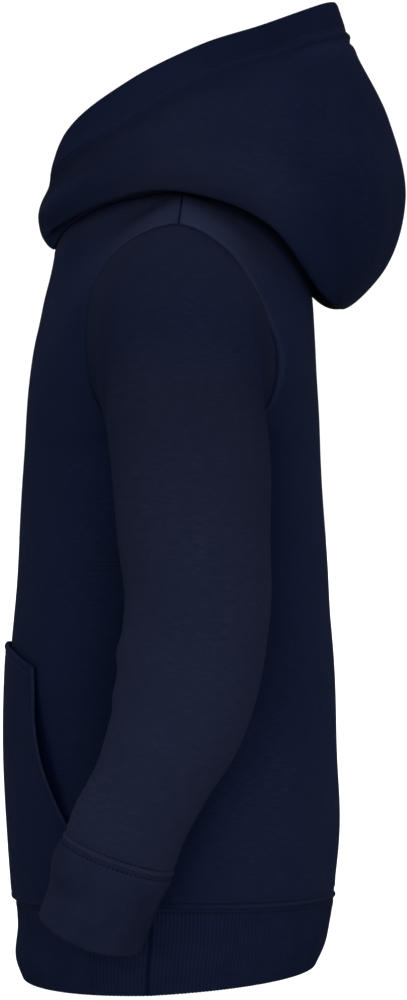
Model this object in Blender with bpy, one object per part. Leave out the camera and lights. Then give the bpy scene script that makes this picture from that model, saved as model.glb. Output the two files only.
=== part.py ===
"""A toddler's pullover hoodie, size 3 years, filled out as if worn and hollow inside.

Every piece of cloth is a closed wall. Its outer face is worked out from a short table of sections,
and its inner face lies one cloth thickness further in. Tables and sizes are in millimetres.
+X is the wearer's left, -Y the front and +Z up. The origin is the middle of the neck, at the height
of the shoulder seams' inner ends, where the garment hangs on its wearer.
"""
import bmesh
import bpy
import numpy as np

MM = 0.001                  # metres in a millimetre

# Cloth and seams
SWEAT_CLOTH = 2.0           # brushed sweatshirt knit
HOOD_CLOTH = 3.0            # the hood is two layers
RIB_CLOTH = 2.4             # rib knit of the cuffs and hem band, at the top of a rib
SEAM_GAP = 0.3              # between the edges of two pieces sewn together
NECK_DRAW = 0.5             # taken off the hood's edge along the neck seam, where it twists
ROUNDNESS = 2.15            # power of the body's oval sections: 2 is an ellipse
SLEEVE_ROUNDNESS = 2.1
MITRE_ROUNDS = 20           # rounds of weighting that find the middle of a corner's normals
LEAST_TOWARDS = 0.45        # limits how far a sharp mitre lengthens the wall's edge
CLOSE_POINTS = 90           # steps of a quarter turn wherever a line is drawn before it is divided

# Ribs of the knitted bands
RIB_HEIGHT = 0.4
BAND_RIBS = 300
CUFF_RIBS = 72
BAND_INSIDE = 60            # columns of the band's plain inside
CUFF_INSIDE = 24

# Pieces that each grid is cut into
NECK_STEPS = 7              # columns from the middle of a panel to the inner end of its shoulder seam
SHOULDER_STEPS = 5          # columns along the shoulder seam
ARM_STEPS = 2               # rows between two stations of the armhole
CORNER_COLUMNS = 3          # the top edge's corner is rounded over this many in the rows below it
CORNER_HOLD = 5.0           # power that keeps the corner itself close to the top edge
HALF_STEPS = NECK_STEPS + SHOULDER_STEPS
BODY_STEPS = [1, 2, 2, 1, 1, 1]
SLEEVE_STEPS = [2, 1, 1, 2, 2, 2, 1, 1, 1, 1, 1]

# Body below the arms, from the hem seam up: side seam, middle of the front, middle of the back
#        side_x  side_y  side_z  front_y front_z back_y back_z
BODY = [(113.0, -17.0, -379.0, -91.2, -382.0, 82.6, -382.0),
        (117.0, -15.0, -350.0, -93.4, -352.0, 84.8, -352.0),
        (119.0, -12.0, -308.0, -95.8, -306.0, 84.6, -308.0),
        (118.0, -8.0, -262.0, -95.2, -260.0, 82.6, -262.0),
        (116.0, -5.0, -215.0, -91.8, -215.0, 79.9, -215.0),
        (114.5, -3.0, -172.0, -88.8, -172.0, 77.0, -172.0),
        (117.5, -2.0, -141.0, -87.2, -140.0, 75.2, -141.0)]

# Each panel above the underarm, a row for each station of its armhole edge: the edge, the middle
# of the panel at that level, how far the row wraps round, and how much it follows the top edge
#               edge_x  edge_y  edge_z  mid_y  mid_z   wrap  follow
FRONT_ARMHOLE = [(114.0, -30.0, -132.0, -86.2, -120.0, 84.0, 0.00),
                 (110.0, -46.0, -111.0, -84.4, -101.0, 76.0, 0.00),
                 (108.0, -50.0, -82.0, -81.2, -80.0, 70.0, 0.06),
                 (111.0, -46.0, -53.0, -76.8, -61.0, 66.0, 0.26),
                 (119.0, -29.0, -32.5, -72.6, -44.0, 64.0, 0.64),
                 (125.0, -2.0, -23.3, -70.5, -28.5, 62.0, 1.00)]
BACK_ARMHOLE = [(116.0, 30.0, -131.0, 74.2, -119.0, 84.0, 0.00),
                (114.0, 44.0, -117.0, 73.2, -99.0, 76.0, 0.00),
                (112.0, 49.0, -92.0, 72.2, -77.0, 70.0, 0.06),
                (114.0, 39.0, -63.5, 70.4, -53.0, 66.0, 0.26),
                (119.0, 24.0, -37.5, 65.0, -26.0, 64.0, 0.64),
                (125.0, -2.0, -23.3, 51.0, -3.0, 62.0, 1.00)]

# Half necklines, from the middle of the panel to the shoulder seam
#              x      y      z
FRONT_NECK = [(0.0, -70.5, -28.5),
              (17.0, -65.0, -19.5),
              (35.0, -45.0, -8.0),
              (50.0, -18.0, -2.5),
              (55.0, 0.0, 0.0)]
BACK_NECK = [(0.0, 51.0, -3.0),
             (25.0, 44.0, -2.0),
             (45.0, 25.0, -0.5),
             (55.0, 0.0, 0.0)]

# Sleeve sections from the shoulder to the cuff: outermost and innermost point, front and back
#          out_x   out_z   in_x    in_z  front_y front_z back_y  back_z
SLEEVE = [(146.0, -36.0, 121.0, -140.5, -46.5, -88.0, 46.5, -92.0),
          (166.0, -62.0, 122.4, -144.5, -43.5, -106.0, 44.5, -106.0),
          (180.0, -98.0, 122.4, -150.0, -40.0, -124.0, 43.0, -122.0),
          (188.0, -140.0, 121.8, -160.0, -36.4, -149.0, 44.6, -145.0),
          (192.0, -186.0, 121.0, -184.0, -33.2, -186.0, 45.2, -184.0),
          (193.0, -230.0, 121.0, -230.0, -31.1, -230.0, 44.5, -228.0),
          (192.0, -262.0, 121.5, -254.0, -33.0, -250.0, 39.7, -262.0),
          (189.0, -290.0, 121.5, -278.0, -37.4, -273.0, 28.5, -293.5),
          (184.0, -316.0, 121.5, -304.0, -43.6, -300.0, 11.4, -320.0),
          (179.0, -338.0, 120.5, -327.0, -55.5, -324.0, 0.8, -341.0),
          (176.0, -351.0, 119.5, -344.0, -60.5, -337.9, -4.6, -357.4)]
FOLD_FADE = 0.12            # share of the sleeve over which its folds die out towards each end
# Soft folds of the left sleeve: place along it and round it (0 the inner side, 0.25 the front,
# 0.5 the outer side), depth (a trough is negative), and reach along and round
#         along  round  depth  long  wide
FOLDS = [(0.20, 0.19, -2.2, 0.10, 0.035),
         (0.24, 0.27, 1.2, 0.12, 0.040),
         (0.22, 0.79, -1.8, 0.09, 0.035),
         (0.62, 0.24, -2.0, 0.05, 0.110),
         (0.70, 0.20, 1.4, 0.05, 0.120),
         (0.80, 0.28, -1.6, 0.05, 0.100)]
CUFF = [SLEEVE[-1],
        (177.0, -361.0, 119.0, -352.0, -65.8, -347.0, -5.8, -361.5),
        (174.0, -376.0, 119.5, -366.0, -68.0, -362.0, -11.0, -372.0),
        (168.0, -396.0, 122.0, -388.0, -74.0, -379.5, -21.0, -397.0)]  # the columns of SLEEVE
CUFF_ROWS = [0, 2, 4, 6]    # rows of the smoothed cuff that the rib columns run through

# Hem band, with the columns of BODY
BAND = [(113.2, -17.0, -379.0, -92.0, -382.0, 82.8, -382.0),
        (112.4, -17.0, -397.0, -90.9, -399.0, 80.4, -397.0),
        (111.6, -17.0, -414.0, -92.0, -416.0, 77.4, -410.0),
        (109.0, -17.0, -426.0, -88.0, -427.5, 72.2, -421.0)]
BAND_ROWS = [0, 4, 6]       # rows of the smoothed band, likewise

# Hood sections from the middle of the back round to the front edge, which laps past the middle.
# Each gives its outer face from the roll above the neck seam, out over the shoulders, round the
# bottom of the bag and up to the tunnel seam and the rim.
#        roll        under         low           outside
#        belly       upper         tunnel        rim
HOOD = [((0, 57, 7), (0, 73, -18), (0, 87.5, -61), (0, 108, -43),
         (0, 121.8, -1), (0, 112.5, 43), (0, 90.5, 88), (0, 84, 107)),
        ((31, 49, 7), (37, 63, -16), (45, 75.5, -55), (60, 93, -34),
         (68, 101, 4), (60, 92, 46), (40, 78.5, 84), (33, 74, 102.7)),
        ((56, 18, 6), (64, 30, -5), (72, 48, -23), (86, 60, -8),
         (91, 62, 20), (83, 57, 50), (64, 47, 71), (57, 42, 89)),
        ((58, -11, 3), (65, -9, 0), (73, -6, -2), (85, -4, 9),
         (90, 0, 27), (84, 3, 45), (72, 7, 58.5), (63, 6, 76.5)),
        ((47, -38, -1.5), (54, -38, -5), (62, -37, -6), (71, -38, 1),
         (74, -38, 11), (71, -37, 23), (64, -35, 34.5), (56, -30, 58.9)),
        ((25, -63, -12), (30, -64.5, -15), (36, -65, -15.5), (41, -67, -10),
         (43, -69, 0), (42, -69, 8), (40, -67.5, 16), (32, -63, 35)),
        ((0, -73.5, -27), (0, -76, -24), (0, -78, -20.5), (0, -79, -16.5),
         (0, -79.3, -12.5), (0, -79, -8.5), (0, -78, -4), (0, -75, 3)),
        ((-22, -64.5, -18), (-22, -68.5, -17), (-22, -72, -15.5), (-22, -74.3, -13.5),
         (-22, -75.6, -11.5), (-22, -76.2, -9.3), (-22, -76.4, -7), (-22, -76, -3))]
HOOD_NECK_COLUMNS = [0, 3, 6, 8, 10, 12, 14, 16]    # where each section meets the neckline
HOOD_RISE = [1, 2, 3, 3, 3, 3, 4, 2]                # rows up to each part of a section
# The right front edge goes behind the left one: how far at each neckline column
#       column depth
LAP = [(10, 0.0),
       (12, 5.2),
       (14, 6.2),
       (16, 10.5)]
LAP_RISE = 0.8              # and it is raised by this share of that depth

# Kangaroo pocket: half width at each height, above the hem seam
#          z      half_width
POCKET = [(-382.0, 109.0),
          (-352.0, 107.5),
          (-333.0, 101.5),
          (-311.0, 95.0),
          (-291.0, 88.5),
          (-272.0, 82.0),
          (-244.0, 75.0)]
POCKET_TOP_DROP = 10.5      # the top edge is this much lower at its corners
POCKET_GAP = 1.2            # from the front panel's outer face
POCKET_MOUTH = 3.0          # how far the middle of each mouth stands off as well
MOUTH_FOOT = 0.22           # share of the pocket's height below its mouths
MOUTH_REACH = 10            # a high power keeps that standing off near the mouths
POCKET_COLUMNS = 20
POCKET_ROWS = 9

# Plain colours, and how rough each cloth is
NAVY = (0.010, 0.014, 0.034)
RIB_NAVY = (0.012, 0.017, 0.038)
SWEAT_ROUGHNESS = 0.85
RIB_ROUGHNESS = 0.8
SHARP_EDGE = 50             # degrees; the cloth's cut edges are sharper than this
MIRRORED = np.array([-1.0, 1.0, 1.0])


# ---------------------------------------------------------------- curves and sections

def smooth(stations, steps, before=None, after=None):
    """Stations joined by cubics, each gap cut into its number of steps.

    The slope at a station is the mean of its two chords, the nearer neighbour counting more.
    before and after are stations past the ends that only steer the slope there.
    """
    stations = np.asarray(stations, float)
    if isinstance(steps, int):
        steps = [steps] * (len(stations) - 1)
    before = 2 * stations[0] - stations[1] if before is None else before
    after = 2 * stations[-1] - stations[-2] if after is None else after
    p = np.concatenate([[before], stations, [after]])
    chord = np.linalg.norm(np.diff(p, axis=0), axis=-1)
    chord = chord.reshape(len(chord), -1).mean(axis=1)
    length = chord.reshape((-1,) + (1,) * (p.ndim - 1))
    slope = np.diff(p, axis=0) / length
    tangent = (slope[:-1] * length[1:] + slope[1:] * length[:-1]) / (length[:-1] + length[1:])
    pieces = []
    for i, count in enumerate(steps):
        t = (np.arange(count) / count).reshape((-1,) + (1,) * (p.ndim - 1))
        gap = chord[i + 1]
        pieces.append((2 * t**3 - 3 * t**2 + 1) * stations[i]
                      + (t**3 - 2 * t**2 + t) * gap * tangent[i]
                      + (3 * t**2 - 2 * t**3) * stations[i + 1]
                      + (t**3 - t**2) * gap * tangent[i + 1])
    return np.concatenate(pieces + [stations[-1:]])


def evenly(line, count, closed=False):
    """Count equal lengths marked off along a line of points."""
    line = np.concatenate([line, line[:1]]) if closed else line
    along = np.concatenate([[0], np.cumsum(np.linalg.norm(np.diff(line, axis=0), axis=1))])
    marks = np.linspace(0, along[-1], count + 1)
    marks = marks[:-1] if closed else marks
    return np.stack([np.interp(marks, along, line[:, k]) for k in range(3)], axis=1)


def unit(vectors):
    """The vectors at length one; a vector of no length stays as it is."""
    return vectors / np.maximum(np.linalg.norm(vectors, axis=-1, keepdims=True), 1e-9)


def oval(angle, power):
    """Sine and cosine raised so that a quarter turn draws a quarter of a superellipse."""
    return np.abs(np.sin(angle)) ** (2 / power), np.abs(np.cos(angle)) ** (2 / power)


def body_arc(section, face, angle):
    """A quarter of a body section, from the middle of the front or back (0) to the side (90)."""
    side_x, side_y, side_z, front_y, front_z, back_y, back_z = section
    mid_y, mid_z = (front_y, front_z) if face == "front" else (back_y, back_z)
    across, deep = oval(np.radians(angle), ROUNDNESS)
    return np.stack([side_x * across, side_y + (mid_y - side_y) * deep,
                     side_z + (mid_z - side_z) * deep], axis=-1)


def whole_section(section):
    """A closed body section of close points, from the middle of the front round by the left."""
    angle = np.linspace(0, 90, CLOSE_POINTS + 1)
    front = body_arc(section, "front", angle)
    back = body_arc(section, "back", angle)[::-1]
    half = np.concatenate([front, back[1:]])
    return np.concatenate([half, half[-2:0:-1] * MIRRORED])


def limb_ring(section, angle):
    """A sleeve section: four quarter ovals through its inner, front, outer and back points."""
    out_x, out_z, in_x, in_z, front_y, front_z, back_y, back_z = section
    mid_x = (out_x + in_x) / 2
    mid_y = (front_y + back_y) / 2
    points = np.array([(in_x, mid_y, in_z), (mid_x, front_y, front_z),
                       (out_x, mid_y, out_z), (mid_x, back_y, back_z)])
    centre = points.mean(axis=0)
    deep, across = oval(np.radians(angle), SLEEVE_ROUNDNESS)
    inner = np.where(np.cos(np.radians(angle))[:, None] > 0, points[0], points[2]) - centre
    side = np.where(np.sin(np.radians(angle))[:, None] > 0, points[1], points[3]) - centre
    return centre + across[:, None] * inner + deep[:, None] * side


# ---------------------------------------------------------------- outer faces of the pieces

def half_top(neck):
    """Top edge of half a panel: neckline, then shoulder seam."""
    neck = np.array(neck)
    curve = smooth(neck, CLOSE_POINTS, before=neck[1] * MIRRORED)
    shoulder = np.linspace(neck[-1], FRONT_ARMHOLE[-1][:3], SHOULDER_STEPS + 1)
    return np.concatenate([evenly(curve, NECK_STEPS), shoulder[1:]])


def eased(line):
    """Half a top edge with its corner rounded: each point is a weighted mean of those beside it.

    The line is carried on past the middle as its mirror image, and past its end turned about it.
    """
    reach = CORNER_COLUMNS - 1
    before = line[reach:0:-1] * MIRRORED
    past = 2 * line[-1] - line[-2:-reach - 2:-1]
    carried = np.concatenate([before, line, past])
    weights = CORNER_COLUMNS - np.abs(np.arange(-reach, reach + 1.0))
    return np.stack([np.convolve(values, weights / weights.sum(), "valid") for values in carried.T], axis=1)


def armhole_edge(rows, other_rows):
    """One panel's armhole edge from the underarm to the shoulder point, which both edges round."""
    underarm = np.array(BODY[-1][:3])
    stations = [underarm] + [row[:3] for row in rows]
    return smooth(stations, ARM_STEPS, after=np.array(other_rows[-2][:3]))


def panel(face):
    """Outer face of the front or back as a grid: rows from the hem up, columns right to left."""
    panels = [(FRONT_ARMHOLE, FRONT_NECK), (BACK_ARMHOLE, BACK_NECK)]
    (rows, neck), (other_rows, _) = panels if face == "front" else panels[::-1]
    column = np.linspace(0, 1, HALF_STEPS + 1)
    lower = [body_arc(section, face, 90 * column) for section in smooth(BODY, BODY_STEPS)]
    top = half_top(neck)
    soft_top = eased(top)
    edge = armhole_edge(rows, other_rows)
    last = BODY[-1][3:5] if face == "front" else BODY[-1][5:7]
    levels = smooth([last + (90.0, 0.0)] + [row[3:] for row in rows], ARM_STEPS)
    upper = []
    for (mid_y, mid_z, wrap, follow), rim in zip(levels[1:], edge[1:]):
        middle = np.array([0.0, mid_y, mid_z])
        across, deep = oval(np.radians(wrap * column), ROUNDNESS)
        across = across / across[-1]
        deep = (deep - deep[-1]) / (1 - deep[-1])
        arc = np.stack([rim[0] * across, rim[1] + (mid_y - rim[1]) * deep,
                        rim[2] + (mid_z - rim[2]) * deep], axis=1)
        follow = np.clip(follow, 0, 1)
        above = soft_top + follow**CORNER_HOLD * (top - soft_top)
        like_top = above + (1 - column)[:, None] * (middle - above[0]) + column[:, None] * (rim - above[-1])
        upper.append(arc + follow * (like_top - arc))
    half = np.array(lower + upper)
    return np.concatenate([half[:, :0:-1] * MIRRORED, half], axis=1)


def sleeve():
    """Outer face of the left sleeve: rings from the armhole to the cuff seam."""
    front = armhole_edge(FRONT_ARMHOLE, BACK_ARMHOLE)
    back = armhole_edge(BACK_ARMHOLE, FRONT_ARMHOLE)
    armhole = np.concatenate([front, back[-2:0:-1]])
    angle = np.linspace(0, 360, len(armhole), endpoint=False)
    rings = [armhole] + [limb_ring(section, angle) for section in SLEEVE]
    face = smooth(rings, SLEEVE_STEPS)
    outwards = -grid_normals(face, closed=True)
    along = np.linspace(0, 1, len(face))[:, None]
    turn = np.linspace(0, 1, len(armhole), endpoint=False)[None, :]
    height = np.zeros((len(face), len(armhole)))
    for place, side, depth, reach, width in FOLDS:
        away = (turn - side + 0.5) % 1 - 0.5
        height += depth * np.exp(-((along - place) / reach) ** 2 - (away / width) ** 2)
    height *= np.clip(np.minimum(along, 1 - along) / FOLD_FADE, 0, 1)
    return face + height[..., None] * outwards


def neck_line():
    """Neckline from the middle of the back, round the wearer's left and past the middle front."""
    back = half_top(BACK_NECK)[:NECK_STEPS + 1]
    front = half_top(FRONT_NECK)[:NECK_STEPS + 1]
    past = front[1:HOOD_NECK_COLUMNS[-1] - HOOD_NECK_COLUMNS[-2] + 1] * MIRRORED
    return np.concatenate([back, front[-2::-1], past])


def hood(lapped_under):
    """Outer face of the left half of the hood: columns round the neck, rows up to the rim."""
    neck = neck_line()
    steps = list(np.diff(HOOD_NECK_COLUMNS))
    sections = np.array(HOOD, float)
    stations = np.array([smooth(np.concatenate([[neck[column]], section]), HOOD_RISE)
                         for column, section in zip(HOOD_NECK_COLUMNS, sections)])
    face = smooth(stations, [int(n) for n in steps], before=stations[1] * MIRRORED)
    face[:, 0] = neck
    if lapped_under:
        behind = np.interp(np.arange(len(face)), *np.array(LAP).T)
        inwards = LAP_RISE * np.array([0, 0, 1]) - unit(face * [1, 1, 0])
        face = face + behind[:, None, None] * inwards
    return face


def pocket():
    """Outer and inner face of the pocket, from the front's own sections moved out."""
    heights, widths = np.array(POCKET).T
    sections = smooth(BODY, CLOSE_POINTS)
    across = np.linspace(-1, 1, POCKET_COLUMNS + 1)
    up = np.linspace(0, 1, POCKET_ROWS + 1)
    grid = np.zeros((POCKET_ROWS + 1, POCKET_COLUMNS + 1, 3))
    for j, rise in enumerate(up):
        level = heights[0] + SEAM_GAP + (heights[-1] - heights[0] - SEAM_GAP) * rise
        x = across * np.interp(level, heights, widths)
        z = level - POCKET_TOP_DROP * rise * across**2
        grid[j] = front_at(sections, x, z)
    normal = grid_normals(grid)
    open_height = np.clip((up - MOUTH_FOOT) / (1 - MOUTH_FOOT), 0, 1)
    stand = POCKET_MOUTH * np.sin(np.pi * open_height) ** 2
    stand = stand[:, None] * np.abs(across)[None, :] ** MOUTH_REACH
    inner = grid + (POCKET_GAP + stand)[..., None] * normal
    return inner + SWEAT_CLOTH * normal, inner


def front_at(sections, x, z):
    """Points of the front panel below the arms at given x and height."""
    side_x, side_y, side_z, front_y, front_z = [
        np.interp(z, sections[:, 4], sections[:, k]) for k in range(5)]
    deep = (1 - np.abs(x / side_x) ** ROUNDNESS) ** (1 / ROUNDNESS)
    return np.stack([x, side_y + (front_y - side_y) * deep, z + (side_z - front_z) * (1 - deep)], axis=1)


# ---------------------------------------------------------------- walls

def grid_normals(grid, closed=False):
    """Unit normals of a grid; closed says that its columns go round."""
    if closed:
        ring = np.concatenate([grid[:, -1:], grid, grid[:, :1]], axis=1)
        along = np.gradient(ring, axis=1)[:, 1:-1]
    else:
        along = np.gradient(grid, axis=1)
    up = np.gradient(grid, axis=0)
    return unit(np.cross(along, up))


def share_normals(pieces):
    """Where the edges of two or more pieces meet, their walls lean the same way, like a mitre.

    That way is the middle of the cone round their normals. It is found by adding the normals up
    again and again, each time with more weight on those that the sum leans away from.
    """
    points = np.concatenate([piece["outer"].reshape(-1, 3) for piece in pieces])
    own = np.concatenate([piece["normal"].reshape(-1, 3) for piece in pieces])
    _, group = np.unique(np.round(points, 2), axis=0, return_inverse=True)
    group = group.ravel()
    weight = np.ones((len(own), 1))
    for _ in range(MITRE_ROUNDS):
        total = np.zeros((group.max() + 1, 3))
        np.add.at(total, group, weight * own)
        mean = unit(total)[group]
        towards = (mean * own).sum(axis=1, keepdims=True)
        weight = weight * np.exp(1 - towards)
    lean = mean / np.clip(towards, LEAST_TOWARDS, 1)
    start = 0
    for piece in pieces:
        count = piece["outer"].size // 3
        piece["lean"] = lean[start:start + count].reshape(piece["outer"].shape)
        start += count


def draw_back(grid, closed, first=SEAM_GAP / 2):
    """Half the seam gap taken off each free edge, and first off the edge of the first row."""
    grid = grid.copy()
    half = SEAM_GAP / 2
    grid[0] += first * unit(grid[1] - grid[0])
    grid[-1] += half * unit(grid[-2] - grid[-1])
    if not closed:
        grid[:, 0] += half * unit(grid[:, 1] - grid[:, 0])
        grid[:, -1] += half * unit(grid[:, -2] - grid[:, -1])
    return grid


def wall_faces(rows, columns, closed):
    """Faces of a wall whose outer points come first, then its inner ones."""
    index = np.arange(rows * columns).reshape(rows, columns)
    if closed:
        index = np.concatenate([index, index[:, :1]], axis=1)
    inside = index + rows * columns
    a, b, c, d = index[:-1, :-1], index[:-1, 1:], index[1:, 1:], index[1:, :-1]
    quads = np.stack([a, b, c, d], axis=-1).reshape(-1, 4)
    faces = [quads, quads[:, ::-1] + rows * columns]
    edges = [(index[0], inside[0]), (index[-1][::-1], inside[-1][::-1])]
    if not closed:
        edges += [(index[::-1, 0], inside[::-1, 0]), (index[:, -1], inside[:, -1])]
    for out, back in edges:
        faces.append(np.stack([out[1:], out[:-1], back[:-1], back[1:]], axis=-1))
    return np.concatenate(faces)


def ribbed_wall(outer, inner):
    """Points and faces of a tube whose outer rings have more points than its plain inner ones."""
    rows, columns = outer.shape[:2]
    inner_rows, inner_columns = inner.shape[:2]
    each = columns // inner_columns
    out = np.arange(rows * columns).reshape(rows, columns)
    back = np.arange(inner_rows * inner_columns).reshape(inner_rows, inner_columns) + rows * columns
    faces = []
    for index, turned in ((out, False), (back, True)):
        beside = np.roll(index, -1, axis=1)
        quads = np.stack([index[:-1], beside[:-1], beside[1:], index[1:]], axis=-1).reshape(-1, 4)
        faces += (quads if turned else quads[:, ::-1]).tolist()
    for out_ring, back_ring, turned in ((out[0], back[0], False), (out[-1], back[-1], True)):
        for k in range(inner_columns):
            fan = [out_ring[(k * each + j) % columns] for j in range(each + 1)]
            ends = [back_ring[k], back_ring[(k + 1) % inner_columns]]
            face = fan[::-1] + ends
            faces.append(face if turned else face[::-1])
    return np.concatenate([outer.reshape(-1, 3), inner.reshape(-1, 3)]), faces


def ribbed_rings(rings, ribs, columns_inside):
    """Outer rings whose every second point stands out by a rib, and plain rings inside them."""
    outer = []
    inner = []
    for ring in rings:
        fine = evenly(ring, 2 * ribs, closed=True)
        across = np.roll(fine, -1, axis=0) - np.roll(fine, 1, axis=0)
        axis = unit(np.cross(fine[ribs // 2] - fine[0], fine[ribs] - fine[0]))
        outwards = unit(np.cross(across, axis))
        outwards *= np.sign(((fine - fine.mean(axis=0)) * outwards).sum())
        valley = RIB_HEIGHT * (np.arange(2 * ribs) % 2)
        outer.append(fine - valley[:, None] * outwards)
        inner.append((fine - RIB_CLOTH * outwards)[::2 * ribs // columns_inside])
    outer, inner = np.array(outer), np.array(inner)
    return draw_back(outer, closed=True), draw_back(inner, closed=True)


# ---------------------------------------------------------------- Blender objects

def clear_scene():
    for thing in list(bpy.data.objects):
        bpy.data.objects.remove(thing, do_unlink=True)


def cloth_material(name, colour, roughness):
    material = bpy.data.materials.new(name)
    material.use_nodes = True
    shader = material.node_tree.nodes["Principled BSDF"]
    shader.inputs["Base Color"].default_value = (*colour, 1.0)
    shader.inputs["Roughness"].default_value = roughness
    shader.inputs["Metallic"].default_value = 0.0
    material.diffuse_color = (*colour, 1.0)
    return material


def add_piece(name, points, faces, colour, roughness, collection):
    """One closed mesh of cloth as an object of its own, shaded smooth but for its cut edges.

    Each four-cornered face is split along its shorter diagonal, so that neighbours stay clear.
    """
    mesh = bpy.data.meshes.new(name)
    mesh.from_pydata((np.asarray(points) * MM).tolist(), [], [list(map(int, face)) for face in faces])
    mesh.validate()
    triangles = bmesh.new()
    triangles.from_mesh(mesh)
    bmesh.ops.triangulate(triangles, faces=triangles.faces[:])
    triangles.to_mesh(mesh)
    triangles.free()
    mesh.shade_smooth()
    mesh.set_sharp_from_angle(angle=np.radians(SHARP_EDGE))
    mesh.materials.append(cloth_material(name, colour, roughness))
    piece = bpy.data.objects.new(name, mesh)
    collection.objects.link(piece)
    return piece


def mirrored_faces(faces):
    return [list(face)[::-1] for face in faces]


def cloth_pieces():
    """The plain pieces: outer grid, thickness, whether it goes round and whether it is turned over."""
    half_gap = SEAM_GAP / 2
    left_sleeve = sleeve()
    left_hood = np.swapaxes(hood(False), 0, 1)
    right_hood = np.swapaxes(hood(True), 0, 1) * MIRRORED
    rows = [("front", panel("front"), SWEAT_CLOTH, False, False, half_gap),
            ("back", panel("back"), SWEAT_CLOTH, False, True, half_gap),
            ("sleeve_left", left_sleeve, SWEAT_CLOTH, True, True, half_gap),
            ("sleeve_right", left_sleeve * MIRRORED, SWEAT_CLOTH, True, False, half_gap),
            ("hood_left", left_hood, HOOD_CLOTH, False, True, NECK_DRAW),
            ("hood_right", right_hood, HOOD_CLOTH, False, False, NECK_DRAW)]
    names = ("name", "outer", "thick", "closed", "turned", "first_draw")
    return [dict(zip(names, row)) for row in rows]


def main():
    clear_scene()
    collection = bpy.data.collections.new("toddler_hoodie")
    bpy.context.scene.collection.children.link(collection)

    pieces = cloth_pieces()
    for piece in pieces:
        normal = grid_normals(piece["outer"], piece["closed"])
        piece["normal"] = -normal if piece["turned"] else normal
    share_normals(pieces)
    for piece in pieces:
        outer = piece["outer"]
        inner = outer - piece["thick"] * piece["lean"]
        rows, columns = outer.shape[:2]
        faces = wall_faces(rows, columns, piece["closed"])
        faces = mirrored_faces(faces) if piece["turned"] else faces
        points = np.concatenate([draw_back(face, piece["closed"], piece["first_draw"]).reshape(-1, 3)
                                 for face in (outer, inner)])
        add_piece(piece["name"], points, faces, NAVY, SWEAT_ROUGHNESS, collection)

    outer, inner = pocket()
    faces = wall_faces(*outer.shape[:2], closed=False)
    points = np.concatenate([outer.reshape(-1, 3), inner.reshape(-1, 3)])
    add_piece("pocket", points, faces, NAVY, SWEAT_ROUGHNESS, collection)

    band = smooth(BAND, 2)[BAND_ROWS]
    outer, inner = ribbed_rings([whole_section(section) for section in band], BAND_RIBS, BAND_INSIDE)
    points, faces = ribbed_wall(outer, inner)
    add_piece("hem_band", points, faces, RIB_NAVY, RIB_ROUGHNESS, collection)

    angle = np.linspace(0, 360, 4 * CLOSE_POINTS, endpoint=False)
    rings = [limb_ring(section, angle) for section in smooth(CUFF, 2)[CUFF_ROWS]]
    outer, inner = ribbed_rings(rings, CUFF_RIBS, CUFF_INSIDE)
    points, faces = ribbed_wall(outer, inner)
    add_piece("cuff_left", points, faces, RIB_NAVY, RIB_ROUGHNESS, collection)
    add_piece("cuff_right", points * MIRRORED, mirrored_faces(faces), RIB_NAVY, RIB_ROUGHNESS, collection)


main()
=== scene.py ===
"""The looks of a toddler's pullover hoodie, filled out as if worn and hollow inside.

Each piece of cloth is a closed shell on its solid's form. It is worked out from the same short tables
at finer steps, with its seams, folds, turned edges and stitches. Tables and sizes are in millimetres.
+X is the wearer's left, -Y the front and +Z up. The origin is the middle of the neck.
"""
from functools import partial

import bpy
import numpy as np
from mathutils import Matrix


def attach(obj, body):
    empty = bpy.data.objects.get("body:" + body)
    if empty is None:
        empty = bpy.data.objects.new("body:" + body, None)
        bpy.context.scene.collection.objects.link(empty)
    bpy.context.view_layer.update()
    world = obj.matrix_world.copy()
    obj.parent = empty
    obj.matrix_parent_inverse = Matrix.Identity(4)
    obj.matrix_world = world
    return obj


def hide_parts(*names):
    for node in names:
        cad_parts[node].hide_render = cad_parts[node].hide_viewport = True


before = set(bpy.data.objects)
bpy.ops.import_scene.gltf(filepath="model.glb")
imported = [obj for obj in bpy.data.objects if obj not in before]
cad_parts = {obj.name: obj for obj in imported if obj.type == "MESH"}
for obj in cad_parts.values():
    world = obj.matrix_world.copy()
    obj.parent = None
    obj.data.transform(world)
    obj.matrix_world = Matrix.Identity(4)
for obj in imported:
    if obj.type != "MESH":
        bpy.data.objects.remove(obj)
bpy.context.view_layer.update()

MM = 0.001                  # metres in a millimetre

# Camera, in metres: level with the chest, looking at the wearer's left side
CAMERA_AWAY = 2.2
CAMERA_ACROSS = 0.011
CAMERA_HEIGHT = -0.1662
CAMERA_CLIPS = (0.05, 200.0)
VIEW_HEIGHT = 0.55          # what the frame's height covers at the garment's middle
SENSOR = 36.0
FLOOR_HEIGHT = -0.80        # where the wearer would stand
FLOOR_REACH = 60.0
FLOOR_NEAR, FLOOR_FAR = 1.5, 4.5    # the floor pales between these distances

# Soft lights from far away, in degrees: the side they come from (0 is the wearer's left, 90 the
# back), height and width; strength is in watts a square metre
# name, side, height, strength, width
LIGHTS = [("key", 4, 3, 3.9, 45), ("top", 0, 78, 2.1, 45)]
SURROUND = (0.12, 0.36, 1.06, 0.90)  # sine of the height where it starts and ends to dim; strengths

# Cloth
SWEAT_CLOTH = 2.0           # brushed sweatshirt knit
HOOD_CLOTH = 3.0            # the hood is two layers
RIB_CLOTH = 2.4             # rib knit of the cuffs and hem band, at the top of a rib
ROUNDNESS = 2.15            # power of the body's oval sections: 2 is an ellipse
SLEEVE_ROUNDNESS = 2.1
MITRE_ROUNDS = 20           # rounds of weighting that find the middle of a corner's normals
LEAST_TOWARDS = 0.45        # limits how far a sharp mitre lengthens the wall's edge
CLOSE_POINTS = 90           # steps of a quarter turn wherever a line is drawn before it is divided

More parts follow.
